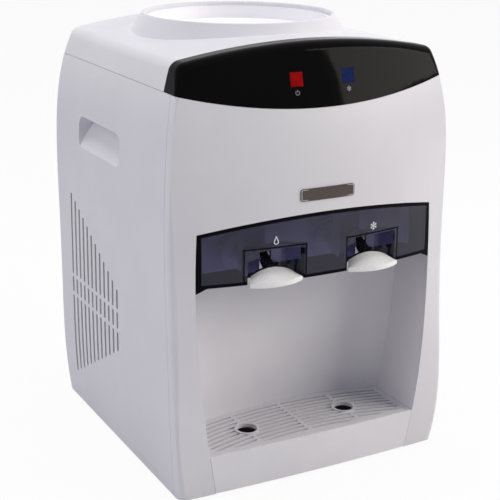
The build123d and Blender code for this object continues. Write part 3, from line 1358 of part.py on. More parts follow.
lean_out = ROCKER_RADIUS * tan(radians(ROCKER_TILT))
with BuildPart() as switch_rocker:
    with BuildSketch(Plane.YZ.offset(SWITCH_X - SWITCH_HALF)):
        with Locations((rocker_pivot, SERVICE_Z)):
            Circle(ROCKER_RADIUS)
        with BuildLine():
            face = rocker_pivot + ROCKER_FACE
            low, high = SERVICE_Z - ROCKER_RADIUS, SERVICE_Z + ROCKER_RADIUS
            Polyline(
                (face, SERVICE_Z), (face + lean_out, low), (FAR, low), (FAR, high), (face + lean_out, high),
                close=True,
            )
        make_face(mode=Mode.SUBTRACT)
    extrude(amount=2 * SWITCH_HALF)
    with BuildSketch(Plane.YZ.offset(SWITCH_X - SWITCH_HALF - BITE)):
        with Locations((rocker_pivot, SERVICE_Z)):
            Circle(ROCKER_PIN)
    extrude(amount=2 * (SWITCH_HALF + BITE))
save(switch_rocker.part, "switch_rocker")

with BuildPart() as cord_gland:
    add(rear_disc(GLAND_X, inside_wall - WALL, GLAND_RADIUS, service_plane - inside_wall + WALL))
    add(rear_disc(GLAND_X, service_plane, GLAND_FLANGE, GLAND_THICKNESS))
    fillet(cord_gland.faces().sort_by(Axis.Y)[-1].edges(), BITE)
    add(rear_disc(GLAND_X, inside_wall - WALL, GLAND_BORE, FAR), mode=Mode.SUBTRACT)
save(cord_gland.part, "cord_gland")

# Supply board on the base plate's standoffs
supply_z = BASE_TOP + STANDOFF_HEIGHT
with BuildPart() as power_board:
    with BuildSketch(Plane.XY.offset(supply_z)):
        with Locations((SUPPLY_X, SUPPLY_Y)):
            Rectangle(SUPPLY_LENGTH, SUPPLY_WIDTH)
        with Locations(*standoff_spots):
            Circle(SCREW_RADIUS + SCREW_GAP, mode=Mode.SUBTRACT)
    extrude(amount=BOARD_THICKNESS)
    with BuildSketch(Plane.XY.offset(supply_z + BOARD_THICKNESS)):
        with Locations((SUPPLY_X - SUPPLY_LENGTH / 6, SUPPLY_Y)):
            Rectangle(SUPPLY_LENGTH / 3, SUPPLY_WIDTH / 2)
        with Locations((SUPPLY_X + SUPPLY_LENGTH / 4, SUPPLY_Y)):
            Circle(SUPPLY_WIDTH / 8)
    extrude(amount=SUPPLY_LENGTH / 4)
save(power_board.part, "power_board")

with BuildPart() as board_screws:
    with BuildSketch(Plane.XY.offset(supply_z + BOARD_THICKNESS)):
        with Locations(*standoff_spots):
            Circle(SCREW_HEAD_RADIUS)
    extrude(amount=SCREW_HEAD_HEIGHT)
    with BuildSketch(Plane.XY.offset(supply_z + BOARD_THICKNESS)):
        with Locations(*standoff_spots):
            Circle(SCREW_RADIUS)
    extrude(amount=BOARD_THICKNESS - SCREW_LENGTH)
save(board_screws.part, "board_screws")
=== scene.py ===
"""Looks of a countertop water dispenser: camera, light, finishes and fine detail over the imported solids.

Metres, in the solids' own frame: the front towards -Y, +Z up, the feet on z = 0.
"""
from math import cos, pi, radians, sin

import bmesh
import bpy
import numpy as np
from mathutils import Matrix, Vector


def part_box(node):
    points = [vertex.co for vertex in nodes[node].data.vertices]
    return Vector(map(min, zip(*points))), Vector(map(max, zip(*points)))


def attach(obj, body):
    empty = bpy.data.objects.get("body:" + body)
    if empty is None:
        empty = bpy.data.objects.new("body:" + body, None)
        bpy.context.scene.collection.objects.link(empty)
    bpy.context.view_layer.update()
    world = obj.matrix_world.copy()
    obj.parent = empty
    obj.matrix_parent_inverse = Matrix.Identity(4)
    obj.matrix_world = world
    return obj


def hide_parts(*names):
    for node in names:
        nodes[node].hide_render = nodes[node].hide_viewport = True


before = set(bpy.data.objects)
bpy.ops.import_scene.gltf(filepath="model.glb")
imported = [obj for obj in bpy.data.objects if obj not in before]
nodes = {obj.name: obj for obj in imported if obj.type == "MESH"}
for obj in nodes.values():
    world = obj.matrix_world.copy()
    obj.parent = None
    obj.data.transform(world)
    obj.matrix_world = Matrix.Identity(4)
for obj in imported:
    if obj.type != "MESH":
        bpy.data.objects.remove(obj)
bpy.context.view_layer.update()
scene = bpy.context.scene

MM = 0.001

# Places on the solids that finishes and signs follow
TAP_X = 52.5 * MM                                       # a tap, from the middle
COVER_TOP, COVER_ARCH = 269.9 * MM, 0.693               # the cover's top falls by the arch times x squared
COVER_SIDE, COVER_FOOT = 125.2 * MM, 209.2 * MM         # its half width and its lower edge
NOTCH_HALF, NOTCH_TOP = 30.0 * MM, 241.2 * MM           # lever notch in the cover, about its tap
HOOD_BACK = -152.1 * MM                                 # where a lever's hood ends and its arm starts
TRAY_FRONT, TRAY_BOW = -155.8 * MM, 0.92                # the tray falls back by the bow times x squared
TRAY_WALL, BASIN_TOP = 4.0 * MM, 39.6 * MM              # its front wall, and how high its basin reaches; the basin's painted shade lies behind and below these
SIGN_Z = 248.5 * MM                                     # signs over the taps
LENS_X, CAPTION_Z = 27.0 * MM, 378.0 * MM               # indicators, and the signs under them
ROCKER_X, ROCKER_Z = 62.0 * MM, 54.0 * MM               # power switch
ROCKER_FACE, ROCKER_TILT = 148.6 * MM, radians(8)       # its two halves slope away from a line at this depth
MARK_UP, BAR_HALF = 5.5 * MM, 1.9 * MM                  # its marks, off that line
RING_RADIUS = 1.9 * MM                                  # ring of the power sign and of the switch

# Patterns and meshes
NOISE_LOW, NOISE_HIGH = 0.35, 0.65                      # most of a noise's values lie between these
STREAK_STRETCH = 40                                     # a metal streak's length over its width
RIB_PITCH = 1.3 * MM                                    # prism ribs of the lenses, coarse enough to show
SHARP_ANGLE = radians(35)                               # faces that meet at more than this keep a crease
FORWARD = -0.86                                         # a normal's y is below this within 30 degrees of -Y
SKIN_HALF = 0.1                                         # x that the fit of a surface scales to 1
FASTENER_REACH = 8 * MM                                 # points this close across the axis are one screw
BEAD_POINTS, LINE_POINTS, CORNER_POINTS, ARC_POINTS, DROP_POINTS = 4, 6, 10, 40, 72


def colour(code):
    """Linear colour of an sRGB hex code."""
    parts = [int(code[i:i + 2], 16) / 255 for i in (0, 2, 4)]
    return [c / 12.92 if c <= 0.04045 else ((c + 0.055) / 1.055) ** 2.4 for c in parts] + [1.0]


def node(tree, kind, inputs=None, **settings):
    """Add a shader node and return its outputs.

    The inputs map a socket to its value or to the socket that feeds it.
    """
    made = tree.nodes.new("ShaderNode" + kind)
    for key, value in settings.items():
        setattr(made, key, value)
    for key, value in (inputs or {}).items():
        if isinstance(value, bpy.types.NodeSocket):
            tree.links.new(value, made.inputs[key])
        else:
            made.inputs[key].default_value = value
    return made.outputs


def new_material(name):
    """Empty material; returns it, its node tree and its Object coordinates."""
    material = bpy.data.materials.new(name)
    material.use_nodes = True
    tree = material.node_tree
    tree.nodes.clear()
    return material, tree, node(tree, "TexCoord")["Object"]


def drift(tree, coords, size_mm, one, other, detail=2.0):
    """Colour that drifts between two hex codes in blotches about size_mm across."""
    blotch = node(tree, "TexNoise", {"Vector": coords, "Scale": 1 / (size_mm * MM), "Detail": detail})["Fac"]
    share = node(tree, "MapRange", {"Value": blotch, "From Min": NOISE_LOW, "From Max": NOISE_HIGH})[0]
    ends = {"A": colour(one), "B": colour(other)}
    return node(tree, "Mix", {"Factor": share, **ends}, data_type="RGBA")["Result"]


def grained(tree, coords, base, rough, grain_mm, depth_mm, strength=0.6, detail=3.0, sockets=None):
    """End a material in a fine grain: a bump, and roughness that follows it over the pair given."""
    grain = node(tree, "TexNoise", {"Vector": coords, "Scale": 1 / (grain_mm * MM), "Detail": detail})["Fac"]
    follows = node(tree, "MapRange", {"Value": grain, "From Min": NOISE_LOW, "From Max": NOISE_HIGH,
                                      "To Min": rough[0], "To Max": rough[1]})[0]
    bump = node(tree, "Bump", {"Height": grain, "Distance": depth_mm * MM, "Strength": strength})[0]
    inputs = {"Base Color": base, "Roughness": follows, "Normal": bump}
    inputs.update(sockets or {})
    shader = node(tree, "BsdfPrincipled", inputs)[0]
    node(tree, "OutputMaterial", {"Surface": shader})


def moulded(name, one, other, rough, grain_mm, depth_mm, sockets=None, drift_mm=60):
    """Moulded or cast finish: slow drift of tone, and a fine grain in bump and roughness."""
    material, tree, coords = new_material(name)
    tone = drift(tree, coords, drift_mm, one, other)
    spread = (rough * 0.85, rough * 1.15)
    grained(tree, coords, tone, spread, grain_mm, depth_mm, sockets=sockets)
    return material


def metal(name, one, other, rough, streak_mm, axis):
    """Worked metal: fine streaks along one axis in tone, roughness and bump."""
    material, tree, coords = new_material(name)
    scale = [1.0, 1.0, 1.0]
    scale[axis] = 1 / STREAK_STRETCH
    drawn = node(tree, "Mapping", {"Vector": coords, "Scale": scale})[0]
    tone = drift(tree, drawn, streak_mm, one, other, detail=4.0)
    spread = (rough * 0.8, rough * 1.25)
    grained(tree, drawn, tone, spread, streak_mm, depth_mm=0.03, strength=0.5, detail=4.0,
            sockets={"Metallic": 1.0})
    return material


def smoked_acrylic():
    """Injection-moulded smoked acrylic: see-through violet grey, nearly black where its edges fold back.

    The dark rim lies within 3 mm of the cover's outline: arched top, straight sides and foot. A dark lip runs
    round each lever notch, up to 1.3 mm outside it. Both fade out over a short way.
    """
    rim_width, rim_fade = 3.0 * MM, 1.2 * MM
    lip_width, lip_fade, lip_start = 1.3 * MM, 0.6 * MM, 0.2 * MM
    material, tree, coords = new_material("smoked_acrylic")
    place = node(tree, "SeparateXYZ", {"Vector": coords})
    half = node(tree, "Math", {0: place["X"]}, operation="ABSOLUTE")[0]
    square = node(tree, "Math", {0: half, 1: half}, operation="MULTIPLY")[0]
    # Distance inside the outline
    arch = node(tree, "Math", {0: square, 1: -COVER_ARCH, 2: COVER_TOP}, operation="MULTIPLY_ADD")[0]
    top = node(tree, "Math", {0: arch, 1: place["Z"]}, operation="SUBTRACT")[0]
    side = node(tree, "Math", {0: COVER_SIDE, 1: half}, operation="SUBTRACT")[0]
    foot = node(tree, "Math", {0: place["Z"], 1: COVER_FOOT}, operation="SUBTRACT")[0]
    inside = node(tree, "Math", {0: top, 1: side}, operation="MINIMUM")[0]
    inside = node(tree, "Math", {0: inside, 1: foot}, operation="MINIMUM")[0]
    rim = node(tree, "MapRange", {"Value": inside, "From Min": rim_width, "From Max": rim_width + rim_fade,
                                  "To Min": 1.0, "To Max": 0.0})[0]
    # Distance outside the notches
    off_tap = node(tree, "Math", {0: half, 1: TAP_X}, operation="SUBTRACT")[0]
    off_tap = node(tree, "Math", {0: off_tap}, operation="ABSOLUTE")[0]
    beside = node(tree, "Math", {0: off_tap, 1: NOTCH_HALF}, operation="SUBTRACT")[0]
    above = node(tree, "Math", {0: place["Z"], 1: NOTCH_TOP}, operation="SUBTRACT")[0]
    outside = node(tree, "Math", {0: beside, 1: above}, operation="MAXIMUM")[0]
    lip = node(tree, "MapRange", {"Value": outside, "From Min": lip_width, "From Max": lip_width + lip_fade,
                                  "To Min": 1.0, "To Max": 0.0})[0]
    begun = node(tree, "MapRange", {"Value": outside, "From Min": -lip_start, "From Max": 0.0})[0]
    lip = node(tree, "Math", {0: lip, 1: begun}, operation="MULTIPLY")[0]
    edge = node(tree, "Math", {0: rim, 1: lip}, operation="MAXIMUM")[0]
    tone = drift(tree, coords, 35, "585883", "5e5e89")
    shade = node(tree, "Mix", {"Factor": edge, "A": tone, "B": colour("07070b")}, data_type="RGBA")["Result"]
    clear = node(tree, "MapRange", {"Value": edge, "To Min": 0.96, "To Max": 0.0})[0]
    shader = node(tree, "BsdfPrincipled", {"Base Color": shade, "Roughness": 0.04, "Specular IOR Level": 0.05,
                                           "Transmission Weight": clear})[0]
    node(tree, "OutputMaterial", {"Surface": shader})
    return material


def two_shot_lever():
    """Lever moulded in two shots of POM: a polished white hood in front and a dark arm behind it."""
    blend = 0.2 * MM
    material, tree, coords = new_material("two_shot_pom")
    depth = node(tree, "SeparateXYZ", {"Vector": coords})["Y"]
    arm = node(tree, "MapRange", {"Value": depth, "From Min": HOOD_BACK - blend,
                                  "From Max": HOOD_BACK + blend})[0]
    white = drift(tree, coords, 40, "eeeef0", "f2f2f4")
    dark = drift(tree, coords, 40, "12121a", "181822")
    shade = node(tree, "Mix", {"Factor": arm, "A": white, "B": dark}, data_type="RGBA")["Result"]
    grained(tree, coords, shade, rough=(0.22, 0.30), grain_mm=1.4, depth_mm=0.003, strength=0.2)
    return material


def tray_with_painted_basin_shade():
    """White ABS tray with painted shade: a white front and rim, and the basin behind the front's wall painted
    grey for the shade that falls in it under the grille.
    """
    blend = 0.6 * MM
    material, tree, coords = new_material("white_tray_abs_painted_basin_shade")
    place = node(tree, "SeparateXYZ", {"Vector": coords})
    square = node(tree, "Math", {0: place["X"], 1: place["X"]}, operation="MULTIPLY")[0]
    front = node(tree, "Math", {0: square, 1: TRAY_BOW, 2: TRAY_FRONT}, operation="MULTIPLY_ADD")[0]
    behind = node(tree, "Math", {0: place["Y"], 1: front}, operation="SUBTRACT")[0]
    deep = node(tree, "MapRange", {"Value": behind, "From Min": TRAY_WALL, "From Max": TRAY_WALL + blend})[0]
    low = node(tree, "MapRange", {"Value": place["Z"], "From Min": BASIN_TOP, "From Max": BASIN_TOP + blend,
                                  "To Min": 1.0, "To Max": 0.0})[0]
    # Painted shade: the basin, behind the front's wall and below the grille, is painted grey where shade
    # falls
    basin = node(tree, "Math", {0: deep, 1: low}, operation="MULTIPLY")[0]
    white = drift(tree, coords, 60, "e0dfe6", "e5e4ea")
    grey = drift(tree, coords, 60, "66626e", "6d6975")
    shade = node(tree, "Mix", {"Factor": basin, "A": white, "B": grey}, data_type="RGBA")["Result"]
    grained(tree, coords, shade, rough=(0.34, 0.46), grain_mm=1.0, depth_mm=0.015)
    return material


def lens(name, bright, dim, glow):
    """Moulded acrylic indicator lens with fine prism ribs, unevenly lit from behind."""
    material, tree, coords = new_material(name)
    # A wave of bands repeats every pi / (10 scale)
    ribs = node(tree, "TexWave", {"Vector": coords, "Scale": pi / (10 * RIB_PITCH), "Distortion": 0.0},
                bands_direction="X")["Fac"]
    bump = node(tree, "Bump", {"Height": ribs, "Distance": 0.1 * MM, "Strength": 0.4})[0]
    shade = drift(tree, coords, 9, dim, bright)
    shader = node(tree, "BsdfPrincipled",
                  {"Base Color": shade, "Roughness": 0.25, "Specular IOR Level": 0.02, "Normal": bump,
                   "Emission Color": shade, "Emission Strength": glow})[0]
    node(tree, "OutputMaterial", {"Surface": shader})
    return material


# Grain sizes near a millimetre are coarser than the real grain, so that it shows

# Body panels: satin white ABS, a soft sheen with a cool lilac cast
white_abs = moulded("satin_white_abs", "dad9e0", "dddce3", rough=0.34, grain_mm=1.1, depth_mm=0.012)
# Liner and grille: the same resin from a plainer tool, a little duller
liner_abs = moulded("liner_white_abs", "dcdae1", "e0dfe5", rough=0.40, grain_mm=1.0, depth_mm=0.015)
# Taps: polished white POM, brighter and smoother than the body
tap_pom = moulded("polished_white_pom", "eeeef0", "f2f2f4", rough=0.26, grain_mm=1.4, depth_mm=0.003)
# Control panel: piano-black acrylic skin, almost a mirror
panel_black = moulded("piano_black_acrylic", "030304", "050507", rough=0.055, grain_mm=6.0, depth_mm=0.006,
                      sockets={"Specular IOR Level": 0.04})
# Bare badge: bronze-brown printed plate with a clear coat, and its silvered rim
badge_brown = moulded("bronze_badge", "4d4441", "574d49", rough=0.30, grain_mm=1.2, depth_mm=0.01,
                      sockets={"Specular IOR Level": 0.3})
badge_edge = moulded("badge_rim_silver", "b9b5b4", "c6c2c0", rough=0.32, grain_mm=0.8, depth_mm=0.01,
                     sockets={"Metallic": 0.8})
# Base, switch and fan: black polypropylene with a spark-eroded grain
dark_pp = moulded("black_polypropylene", "141416", "1b1b1e", rough=0.55, grain_mm=0.9, depth_mm=0.05)
# Feet, gland and cap: matt moulded rubber
black_rubber = moulded("moulded_rubber", "101010", "191918", rough=0.78, grain_mm=0.7, depth_mm=0.06)
# Hoses, gasket and washers: milky silicone that lets some light into it
silicone = moulded("milky_silicone", "d3d3cc", "dedfd8", rough=0.42, grain_mm=2.2, depth_mm=0.03,
                   sockets={"Subsurface Weight": 0.25, "Subsurface Scale": 2 * MM})
# Funnel, lid, baffle and drain: food-grade polypropylene, slightly waxy
food_pp = moulded("food_polypropylene", "f4f3f8", "f8f7fb", rough=0.38, grain_mm=1.6, depth_mm=0.015)
# Tank jacket: expanded polystyrene beads
bead_foam = moulded("polystyrene_foam", "e9e9e4", "f2f2ee", rough=0.85, grain_mm=3.2, depth_mm=0.35,
                    drift_mm=4)
# Cooler plates: unglazed alumina ceramic, chalky white
alumina = moulded("alumina_ceramic", "e6e4dc", "efede6", rough=0.6, grain_mm=0.8, depth_mm=0.02)
# Circuit boards: solder mask, a glossy dark green
solder_mask = moulded("green_solder_mask", "0f4a28", "176036", rough=0.36, grain_mm=1.0, depth_mm=0.03)
# Inner frame: galvanised sheet with a broad spangle
zinc_sheet = moulded("galvanised_sheet", "9fa3a6", "b9bdc0", rough=0.42, grain_mm=9.0, depth_mm=0.02,
                     sockets={"Metallic": 1.0}, drift_mm=14)
# Screws, tank, springs and sink: plated, drawn and extruded metal, streaked the way it was worked
screw_steel = metal("plated_screw_steel", "a3a3a6", "bcbcbf", rough=0.30, streak_mm=0.5, axis=1)
tank_steel = metal("drawn_stainless", "b4b4b6", "cacacc", rough=0.26, streak_mm=0.8, axis=2)
wire_steel = metal("bright_spring_wire", "b0b0b4", "c9c9cc", rough=0.22, streak_mm=0.4, axis=2)
sink_aluminium = metal("extruded_aluminium", "c3c6c9", "dadcde", rough=0.34, streak_mm=0.7, axis=2)
# Tap cover: smoked acrylic; levers: two tones in one moulding; tray: white, its basin painted grey as shade
smoke = smoked_acrylic()
lever_pom = two_shot_lever()
painted_shade_tray = tray_with_painted_basin_shade()
# Indicators: dyed acrylic, faintly lit
red_lens = lens("red_lens_acrylic", "8e070c", "6e0508", glow=0.14)
blue_lens = lens("blue_lens_acrylic", "0d2358", "081640", glow=0.10)
# Signs: pad-printed ink, flat and matt
print_white = moulded("white_pad_print", "dfe0ea", "ecedf4", rough=0.5, grain_mm=0.6, depth_mm=0.004)
print_grey = moulded("grey_pad_print", "8f90a0", "9b9cab", rough=0.5, grain_mm=0.6, depth_mm=0.004)

FINISHES = {
    white_abs: ["front_panel", "left_side_panel", "right_side_panel", "rear_panel", "top_cover"],
    liner_abs: ["alcove_liner", "drip_grille"],
    painted_shade_tray: ["drip_tray"],
    lever_pom: ["left_tap_lever", "right_tap_lever"],
    tap_pom: [f"{side}_{piece}" for side in ("left", "right")
              for piece in ("tap_body", "tap_bonnet", "tap_nut", "valve_plunger")],
    panel_black: ["control_panel"],
    badge_brown: ["badge_plate"],
    dark_pp: ["base_plate", "switch_housing", "switch_rocker", "fan_frame", "fan_rotor"],
    black_rubber: ["rubber_feet", "cord_gland", "drain_cap"],
    silicone: ["seat_gasket", "cold_hose", "natural_hose", "drain_hose",
               "left_tap_washer", "right_tap_washer"],
    food_pp: ["bottle_seat", "tank_lid", "baffle", "drain_fitting"],
    bead_foam: ["tank_jacket"],
    alumina: ["cooling_module"],
    solder_mask: ["indicator_board", "power_board"],
    zinc_sheet: ["inner_frame"],
    screw_steel: ["rear_screws", "base_screws", "fan_screws", "board_screws"],
    tank_steel: ["cold_tank"],
    wire_steel: ["left_valve_spring", "right_valve_spring", "left_lever_pin", "right_lever_pin"],
    sink_aluminium: ["cold_block", "heat_sink"],
    smoke: ["tap_cover"],
    red_lens: ["power_lens"],
    blue_lens: ["cooling_lens"],
}
for finish, names in FINISHES.items():
    for name in names:
        nodes[name].data.materials.clear()
        nodes[name].data.materials.append(finish)


def read(items, key, width=3, kind=np.float32):
    """One property of a mesh's vertices, loops or faces as an array, a row to each."""
    values = np.empty(width * len(items), kind)
    items.foreach_get(key, values)
    return values.reshape(-1, width)


def skin(node_name, ahead_of, spread):
    """Fit y(x, z) to a node's forward faces: a polynomial in x squared and z, as a function of arrays.

    Only the triangles that look forward and lie ahead of a depth are used.
    """
    mesh = nodes[node_name].data
    forward = read(mesh.polygons, "normal")[:, 1] < FORWARD
    ahead = read(mesh.polygons, "center")[:, 1] < ahead_of
    triangles = read(mesh.loops, "vertex_index", 1, np.int32).reshape(-1, 3)
    spots = read(mesh.vertices, "co")[triangles[forward & ahead].ravel()].astype(float)
    middle = spots[:, 2].mean()

    def terms(x, z):
        u, v = (x / SKIN_HALF) ** 2, (z - middle) / spread
        return np.stack([v**0, v, v**2, u, u * v, u * v**2, u**2], -1)

    fit = np.linalg.lstsq(terms(spots[:, 0], spots[:, 2]), spots[:, 1], rcond=None)[0]
    return lambda x, z: terms(np.asarray(x, float), np.asarray(z, float)) @ fit


def quads(index):
    """Faces between the neighbouring rows and columns of a grid of point numbers."""
    corners = [index[:-1, :-1], index[:-1, 1:], index[1:, 1:], index[1:, :-1]]
    return np.stack(corners, -1).reshape(-1, 4).tolist()


def shell_faces(rows, columns, loop_rows, start):
    """Faces of a grid of points whose columns run round; its rows run round too, or its ends are capped."""
    index = start + np.arange(rows * columns).reshape(rows, columns)
    caps = [] if loop_rows else [index[0].tolist(), index[-1].tolist()]
    index = np.concatenate([index, index[:, :1]], 1)
    if loop_rows:
        index = np.concatenate([index, index[:1]], 0)
    return quads(index) + caps


def closed_piece(name, shells, finish, body, loop_rows=False):
    """Object made of closed shells, each a grid of points whose columns run round; outward faces."""
    points, faces = [], []
    for shell in shells:
        faces += shell_faces(*shell.shape[:2], loop_rows, sum(len(p) for p in points))
        points.append(shell.reshape(-1, 3))
    mesh = bpy.data.meshes.new(name)
    mesh.from_pydata(np.concatenate(points).tolist(), [], faces)
    shape = bmesh.new()
    shape.from_mesh(mesh)
    bmesh.ops.recalc_face_normals(shape, faces=shape.faces)
    shape.to_mesh(mesh)
    shape.free()
    mesh.shade_smooth()
    mesh.set_sharp_from_angle(angle=SHARP_ANGLE)
    mesh.materials.append(finish)
    piece = bpy.data.objects.new(name, mesh)
    scene.collection.objects.link(piece)
    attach(piece, body)
    return piece


def carried(path, width, height, looped, surface, outward=-1):
    """Low bead on a surface y(x, z): a half-round profile carried along a path in x and z.

    The profile runs up over the bead and back a little under the surface. Each point is the path's point,
    moved across it by the profile's width and out of the surface by its height.
    """
    if looped:
        ahead = np.roll(path, -1, 0) - np.roll(path, 1, 0)
    else:
        ahead = np.gradient(path, axis=0)
    ahead /= np.linalg.norm(ahead, axis=1, keepdims=True)
    across = np.stack([-ahead[:, 1], ahead[:, 0]], 1)
    turn = np.linspace(0, np.pi, BEAD_POINTS)
    side = np.concatenate([np.cos(turn), [-1.0, 1.0]]) * width / 2
    rise = np.concatenate([np.sin(turn) * height, [-height / 4, -height / 4]])
    flat = path[:, None, :] + across[:, None, :] * side[None, :, None]
    depth = surface(flat[..., 0], flat[..., 1]) + outward * rise[None, :]
    return np.stack([flat[..., 0], depth, flat[..., 1]], -1)


def line(start, stop):
    """Straight path between two points."""
    return np.linspace(start, stop, LINE_POINTS)


def arc(centre, radius, first, last, count=ARC_POINTS):
    """Path along an arc between two angles in degrees, anticlockwise from +x."""
    turn = np.radians(np.linspace(first, last, count))
    return np.array(centre) + radius * np.stack([np.cos(turn), np.sin(turn)], 1)


def rounded_box(centre, half_x, half_z, radius):
    """Looped path round a rectangle with rounded corners: four quarter arcs joined by their chords."""
    corners = [(1, 1, 0), (-1, 1, 90), (-1, -1, 180), (1, -1, 270)]
    reach = np.array([half_x, half_z]) - radius
    return np.concatenate([arc(centre + reach * (i, j), radius, first, first + 90, CORNER_POINTS)
                           for i, j, first in corners])


def snow_paths(centre, reach):
    """Six arms from the middle, each with two short side arms at 50 degrees, as straight paths."""
    branch_at, branch_length = 0.55, 0.33
    paths = []
    for turn in np.radians(np.arange(90, 450, 60)):
        tip = np.array([np.cos(turn), np.sin(turn)])
        paths.append(line(centre, centre + reach * tip))
        for swing in np.radians([-50, 50]):
            side = np.array([np.cos(turn + swing), np.sin(turn + swing)])
            paths.append(line(centre + branch_at * reach * tip,
                              centre + reach * (branch_at * tip + branch_length * side)))
    return paths


def drop_path(centre, reach):
    """Water drop: x = 0.858 sin t sin(t / 2) squared and z = cos t, for t round one turn."""
    turn = np.linspace(0, 2 * np.pi, DROP_POINTS, endpoint=False)
    x = 0.858 * np.sin(turn) * np.sin(turn / 2) ** 2
    return np.array(centre) + reach * np.stack([x, np.cos(turn)], 1)


def fasteners(node_name, axis, sign):
    """Place and length of each fastener in a node; the place is its axis's end towards the sign."""
    points = read(nodes[node_name].data.vertices, "co").astype(float)
    plane = [i for i in range(3) if i != axis]
    found = []
    while len(points):
        near = np.linalg.norm(points[:, plane] - points[0, plane], axis=1) < FASTENER_REACH
        low, high = points[near].min(0), points[near].max(0)
        spot = (low + high) / 2
        spot[axis] = high[axis] if sign > 0 else low[axis]
        found.append((spot, high[axis] - low[axis]))
        points = points[~near]
    return found


def soft(step):
    """Smooth step from 0 to 1: 3 s squared less 2 s cubed, with s held between 0 and 1."""
    held = np.clip(step, 0, 1)
    return held ** 2 * (3 - 2 * held)


def screw_shell(head, axis, sign, length):
    """One pan-head screw: rows down its profile, columns round its axis.

    The crown is a shallow dome less a cross: the deeper of two bars with soft sides. The shank's radius is a
    triangle wave of the turn plus the depth over the pitch, so its crests wind round as a thread.
    """
    head_radius, head_height, dome, edge_round = 3.4 * MM, 2.0 * MM, 0.30 * MM, 0.5 * MM
    cross_half, cross_reach, cross_depth = 0.62 * MM, 2.0 * MM, 1.0 * MM
    cross_side, cross_end = 0.3 * MM, 0.5 * MM
    columns, crown_rows, shank_rows = 40, 18, 46
    shank, pitch, thread, tip_length, tip_radius = 1.68 * MM, 1.25 * MM, 0.34 * MM, 1.2 * MM, 0.1 * MM
    turn = np.linspace(0, 2 * np.pi, columns, endpoint=False)[None, :]
    out = np.linspace(0.04, 1, crown_rows)[:, None]
    crown = out * head_radius
    u, v = np.abs(crown * np.cos(turn)), np.abs(crown * np.sin(turn))
    bars = [soft((cross_half - a) / cross_side) * soft((cross_reach - b) / cross_end)
            for a, b in ((u, v), (v, u))]
    crown_height = -dome * out ** 2 - edge_round * out ** 10 - cross_depth * np.maximum(*bars)
    depth = np.linspace(head_height, length - tip_length, shank_rows)[:, None]
    wave = np.abs(((depth / pitch + turn / (2 * np.pi)) % 1) - 0.5) * 2
    ring = np.ones_like(turn)
    threaded = shank - thread * wave * np.clip((depth - head_height) / MM, 0, 1)
    radius = np.concatenate([crown * ring, head_radius * ring, threaded, tip_radius * ring])
    height = np.concatenate([crown_height, -head_height * ring, -depth * ring, -length * ring])
    local = np.stack([radius * np.cos(turn), radius * np.sin(turn), height], -1)
    along = np.eye(3)[axis] * sign
    first = np.eye(3)[(axis + 1) % 3]
    return head + local @ np.stack([first, np.cross(along, first), along])


def screws(node_name, axis, sign):
    """Cross-head screws in place of a node's plain ones, heads towards the axis's plus or minus end."""
    shells = [screw_shell(head, axis, sign, length) for head, length in fasteners(node_name, axis, sign)]
    piece = closed_piece(f"{node_name}_cross_head", shells, screw_steel, "body")
    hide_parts(node_name)


screws("rear_screws", axis=1, sign=1)
screws("fan_screws", axis=1, sign=1)
screws("base_screws", axis=2, sign=-1)
screws("board_screws", axis=2, sign=1)


def ribbed_cap():
    """Drain cap turned round its axis: radius by profile, less a rib wave of 26 round the grip.

    The profile runs from the dished end's middle out over the rim, down the grip, across the lip and up the
    bore. Each of its points is a radius, a depth and the share of the rib wave there.
    """
    low, high = (np.array(corner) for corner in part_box("drain_cap"))
    middle = (low + high) / 2
    outside = (high[0] - low[0]) / 2
    back, front = high[1], low[1]
    bore, bore_depth, dot = 6.05 * MM, 9.0 * MM, 0.2 * MM
    ribs, rib_depth, grip_start, grip_length = 26, 0.55 * MM, 1.3 * MM, 8.4 * MM
    turn = np.linspace(0, 2 * np.pi, 8 * ribs, endpoint=False)[None, :]
    profile = [(dot, back - 0.9 * MM, 0), (5.5 * MM, back - 0.8 * MM, 0), (6.4 * MM, back - 0.1 * MM, 0),
               (7.2 * MM, back, 0), (outside - 1.3 * MM, back, 0),
               (outside - 0.6 * MM, back - 0.15 * MM, 0.2), (outside - 0.15 * MM, back - 0.6 * MM, 0.6)]
    profile += [(outside, back - grip_start - t * grip_length, 1.0) for t in np.linspace(0, 1, 9)]
    profile += [(outside - 0.1 * MM, front + 2.6 * MM, 0.2), (outside, front + 2.3 * MM, 0),
                (outside, front, 0), (bore + 0.4 * MM, front, 0), (bore, front + 0.4 * MM, 0),
                (bore, front + bore_depth, 0), (dot, front + bore_depth, 0)]
    radius, depth, rib = (np.array(column)[:, None] for column in zip(*profile))
    radius = radius - rib_depth * rib * (0.5 - 0.5 * np.cos(ribs * turn)) ** 2
    shell = np.stack([middle[0] + radius * np.cos(turn), np.broadcast_to(depth, radius.shape),
                      middle[2] + radius * np.sin(turn)], -1)
    piece = closed_piece("drain_cap_ribbed", [shell], black_rubber, "cap")
    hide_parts("drain_cap")


ribbed_cap()

# Badge rim: a fine raised bead just inside the plate's edge
BADGE_INSET, BADGE_CORNER = 0.9 * MM, 1.8 * MM
badge_low, badge_high = (np.array(corner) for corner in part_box("badge_plate"))
badge_mid = (badge_low + badge_high)[[0, 2]] / 2
badge_half = (badge_high - badge_low)[[0, 2]] / 2 - BADGE_INSET
badge_path = rounded_box(badge_mid, *badge_half, BADGE_CORNER)
badge_skin = skin("badge_plate", ahead_of=0.0, spread=6 * MM)
badge_bead = carried(badge_path, 0.7 * MM, 0.25 * MM, True, badge_skin)
closed_piece("badge_rim", [badge_bead], badge_edge, "body", loop_rows=True)

